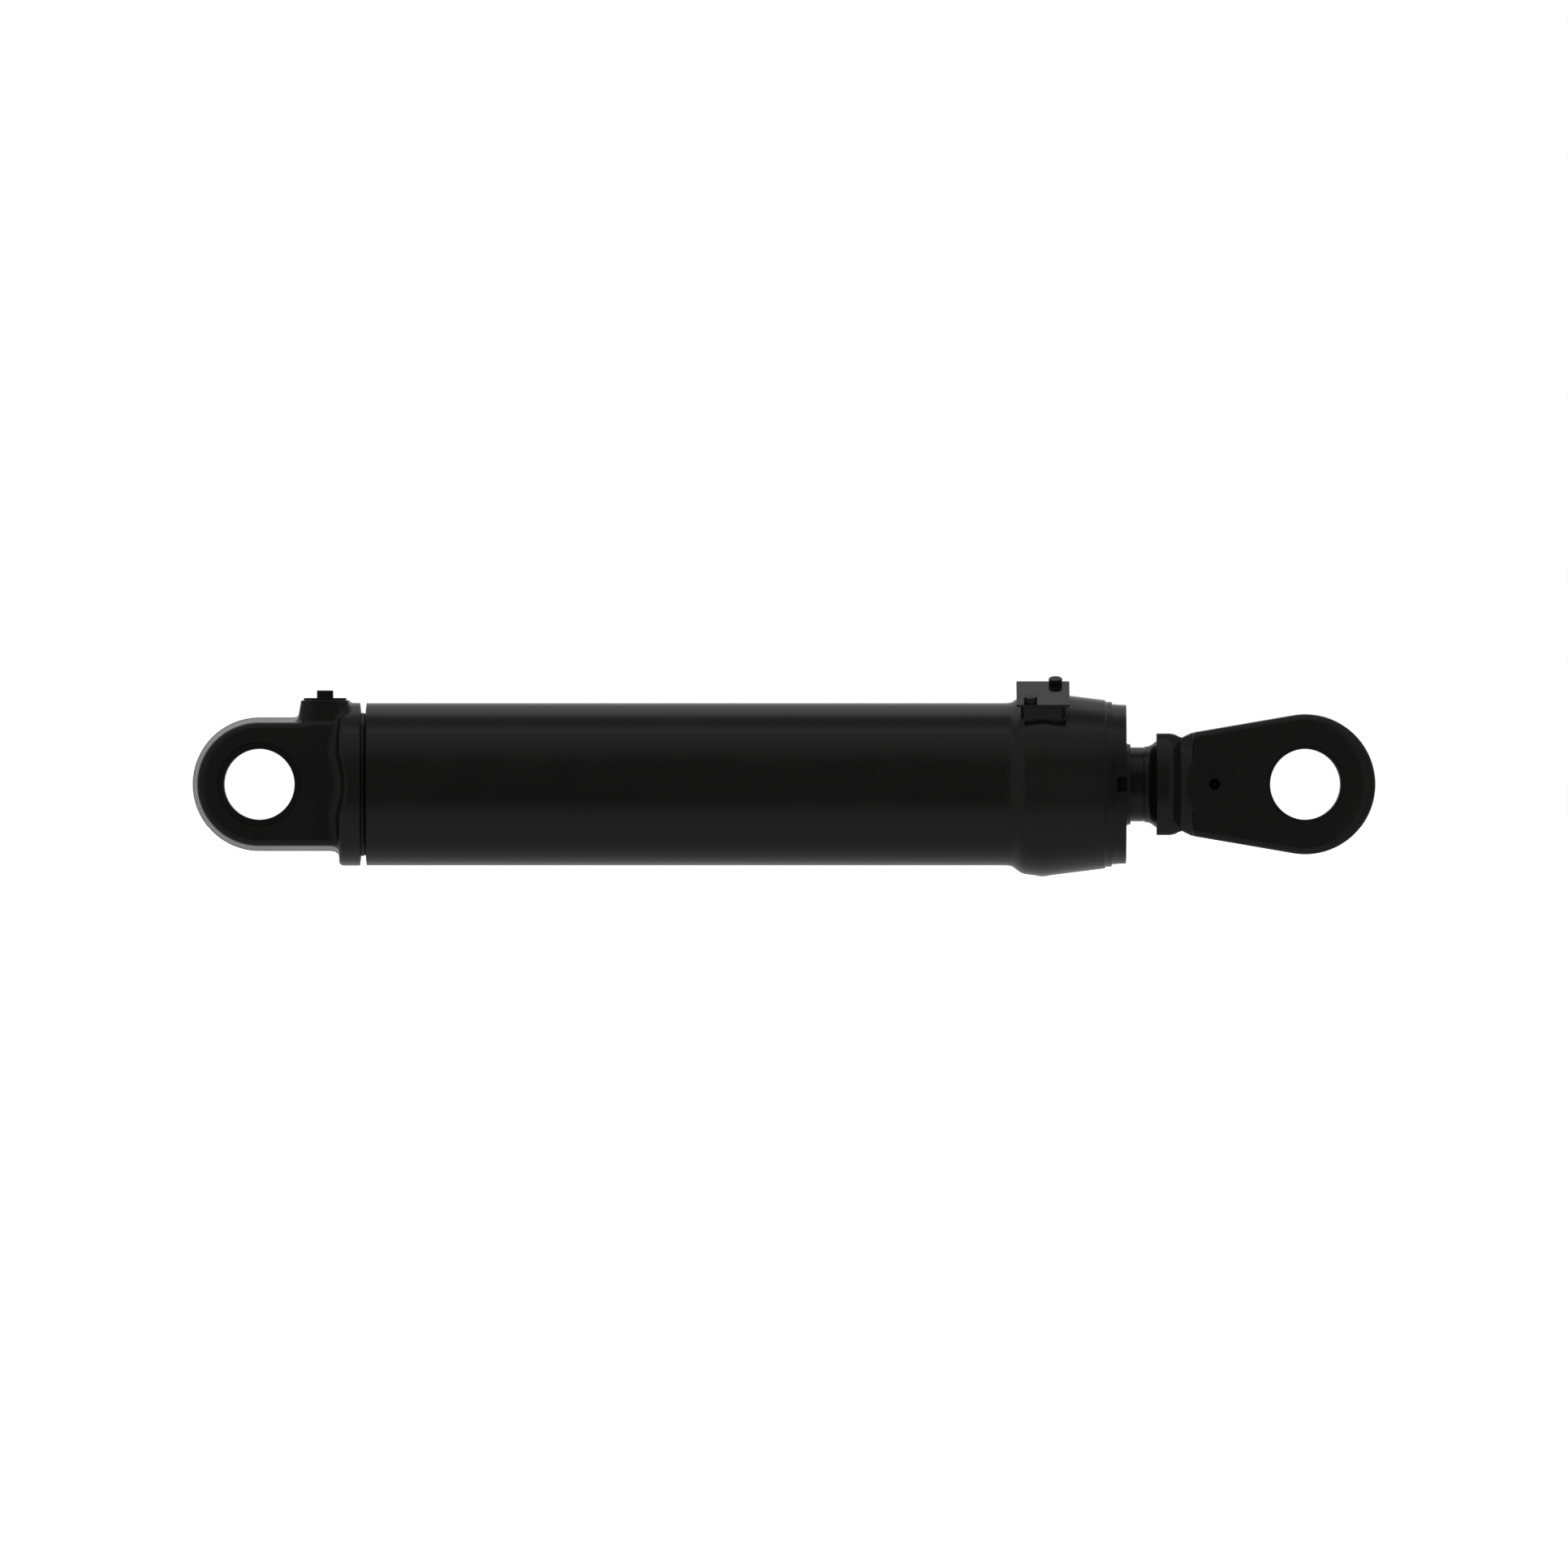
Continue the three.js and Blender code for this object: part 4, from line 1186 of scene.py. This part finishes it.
piece(
    "rod_eye",
    contour(
        rod_eye,
        lines((ROD_EYE_X - 2, 1094, 1.2), (1094, 1128, 0.9), (1128, ROD_EYE_END_X + 3, 2.0)),
        lines((-64, -40, 1.2), (-40, -3, 2.3), (-3, 3, 0.75), (3, 40, 2.3), (40, 64, 1.2)),
        lines((-88, 88, 1.8)),
    ),
    forged_paint,
    # the grease pocket's faces get painted shade
    second=(recess_painted_shade, in_grease_pocket),
)
piece(
    "rod_eye_bush",
    pin_ring("rod_eye_bush", PIN_R, ROD_EYE_BORE_R + TOUCH, 0.4),
    phosphated,
    ALONG_Y,
    (ROD_PIN_X, 0, 0),
)
piece(
    "grease_nipple",
    turned(
        [
            (-47, 0),
            (-26, 0),
            (-26, 2),
            (-36.3, 2),
            (-36.3, 4, 0.3),
            (-41, 4, 0.4),
            (-42, 2.2),
            (-44, 3.2, 0.5),
            (-47, 1.6, 0.5),
        ],
        40,
        steps=3,
    ),
    zinc,
    ALONG_Y,
    (GREASE_X, 0, 0),
)

# ---- Studio: white surround, soft strips above and behind, a pale floor ----

# The surround's brightness by angle in degrees: 0 is towards the viewer, 180 straight behind the
# cylinder. The four ways round are overhead, underfoot, and by the rod end and the cap end.
ABOVE = [
    (0, 0.105), (28, 0.105), (40, 0.16), (52, 0.25), (68, 0.3), (78, 0.34), (83, 0.46), (88, 0.27),
    (97, 0.18), (106, 0.16), (113, 0.3), (121, 0.5), (130, 0.48), (142, 0.36), (158, 0.4),
    (167, 0.6), (180, 0.6),
]
BELOW = [
    (0, 0.105), (22, 0.105), (31, 0.18), (45, 0.26), (60, 0.29), (100, 0.27), (120, 0.33),
    (150, 0.41), (167, 0.48), (180, 0.48),
]
RIGHT = [
    (0, 0.105), (8, 0.12), (16, 0.157), (30, 0.18), (49, 0.215), (64, 0.15), (76, 0.11), (92, 0.15),
    (110, 0.18), (130, 0.2), (150, 0.28), (168, 0.44), (180, 0.48),
]
LEFT = [
    (0, 0.105), (8, 0.12), (16, 0.157), (30, 0.18), (49, 0.215), (64, 0.21), (76, 0.2), (92, 0.21),
    (110, 0.21), (130, 0.2), (150, 0.28), (168, 0.46), (180, 0.5),
]
FLOOR_SEEN = 6.0  # the floor is exposed to white, as the backdrop is
FLOOR_ALBEDO = 0.8
FLOOR_HALF = 60.0


def glow(g, direction):
    """The surround's brightness in a direction: long strips over the cylinder, dimmer to its sides."""
    straight = g.add("ShaderNodeVectorMath", {"operation": "NORMALIZE"})
    g.put(straight.inputs[0], direction)
    x, y, z = parts_of(g, straight.outputs[0])
    angle = g.math("DIVIDE", g.math("ARCCOSINE", g.math("MULTIPLY", y, -1.0)), math.pi)

    def ramp(stops):
        node = g.add("ShaderNodeValToRGB", Fac=angle)
        node.color_ramp.interpolation = "LINEAR"
        elements = node.color_ramp.elements
        while len(elements) < len(stops):
            elements.new(0.5)
        for element, (degrees, level) in zip(elements, stops):
            element.position = degrees / 180
            element.color = (level, level, level, 1)
        return g.add("ShaderNodeSeparateColor", Color=node.outputs["Color"]).outputs[0]

    def between(share, one, other):
        rest = g.math("SUBTRACT", 1.0, share)
        return g.math("ADD", g.math("MULTIPLY", share, one), g.math("MULTIPLY", rest, other))

    upright = between(g.spread(z, -0.02, 0.02, 0, 1), ramp(ABOVE), ramp(BELOW))
    beside = between(g.spread(x, -0.02, 0.02, 0, 1), ramp(RIGHT), ramp(LEFT))
    z2, x2 = g.math("MULTIPLY", z, z), g.math("MULTIPLY", x, x)
    share = g.math("DIVIDE", z2, g.math("ADD", g.math("ADD", z2, x2), 1e-6))
    return between(share, upright, beside)


def light_studio(world):
    """The camera sees plain white. Everything else is lit by the surround's glow."""
    world.use_nodes = True
    g = Graph(world.node_tree)
    level = glow(g, g.add("ShaderNodeTexCoord").outputs["Generated"])
    to_camera = g.add("ShaderNodeLightPath").outputs["Is Camera Ray"]
    seen = g.add("ShaderNodeBackground", Color=(1, 1, 1, 1), Strength=1.0)
    lit = g.add("ShaderNodeBackground", Color=(1, 1, 1, 1), Strength=level)
    mix = g.add("ShaderNodeMixShader", Fac=to_camera)
    g.put(mix.inputs[1], lit.outputs[0])
    g.put(mix.inputs[2], seen.outputs[0])
    g.put(g.add("ShaderNodeOutputWorld").inputs["Surface"], mix.outputs[0])


def floor_finish():
    """Pale and matt, but seen in reflections it is as bright as the surround behind it."""
    material = bpy.data.materials.new("pale_studio_floor")
    material.use_nodes = True
    g = Graph(material.node_tree)
    paths = g.add("ShaderNodeLightPath")
    incoming = g.add("ShaderNodeNewGeometry").outputs["Incoming"]
    outward = g.add("ShaderNodeVectorMath", {"operation": "SCALE"}, Scale=-1.0)
    g.put(outward.inputs[0], incoming)
    where = g.add("ShaderNodeTexCoord").outputs["Object"]
    grain = g.spread(g.noise(where, 3.0), 0.3, 0.7, 0.99, 1.01)
    exposed = g.spread(paths.outputs["Is Camera Ray"], 0, 1, FLOOR_ALBEDO, FLOOR_SEEN)
    albedo = g.math("MULTIPLY", exposed, grain)
    matt = g.add("ShaderNodeBsdfDiffuse")
    grey = g.add("ShaderNodeCombineColor", Red=albedo, Green=albedo, Blue=albedo)
    g.put(matt.inputs["Color"], grey.outputs[0])
    mirrored = g.add("ShaderNodeEmission", Color=(1, 1, 1, 1), Strength=glow(g, outward.outputs[0]))
    mix = g.add("ShaderNodeMixShader", Fac=paths.outputs["Is Glossy Ray"])
    g.put(mix.inputs[1], matt.outputs[0])
    g.put(mix.inputs[2], mirrored.outputs[0])
    g.put(g.add("ShaderNodeOutputMaterial").inputs["Surface"], mix.outputs[0])
    return material


studio = bpy.data.worlds.new("studio")
bpy.context.scene.world = studio
light_studio(studio)

floor_mesh = bpy.data.meshes.new("studio_floor")
floor_corners = [(x * FLOOR_HALF, y * FLOOR_HALF, 0) for x, y in ((-1, -1), (1, -1), (1, 1), (-1, 1))]
floor_mesh.from_pydata(floor_corners, [], [(0, 1, 2, 3)])
floor_mesh.materials.append(floor_finish())
floor = bpy.data.objects.new("studio_floor", floor_mesh)
bpy.context.scene.collection.objects.link(floor)
floor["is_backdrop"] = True

# ---- Camera: square on to the side, with a very long lens ----

FRAME_WIDTH = 1.8843
AIM_ABOVE_AXIS = 0.0004
LENS = 1000.0
SENSOR = 36.0
camera_data = bpy.data.cameras.new("camera")
camera_data.lens = LENS
camera_data.sensor_width = SENSOR
distance = FRAME_WIDTH * LENS / SENSOR
camera_data.clip_start = 1.0
camera_data.clip_end = 400.0
camera = bpy.data.objects.new("camera", camera_data)
camera.location = (0.0, -distance, float(ORIGIN[Z]) + AIM_ABOVE_AXIS)
camera.rotation_euler = (math.pi / 2, 0, 0)
bpy.context.scene.collection.objects.link(camera)
bpy.context.scene.camera = camera
bpy.context.scene.view_settings.view_transform = "Standard"

low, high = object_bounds()
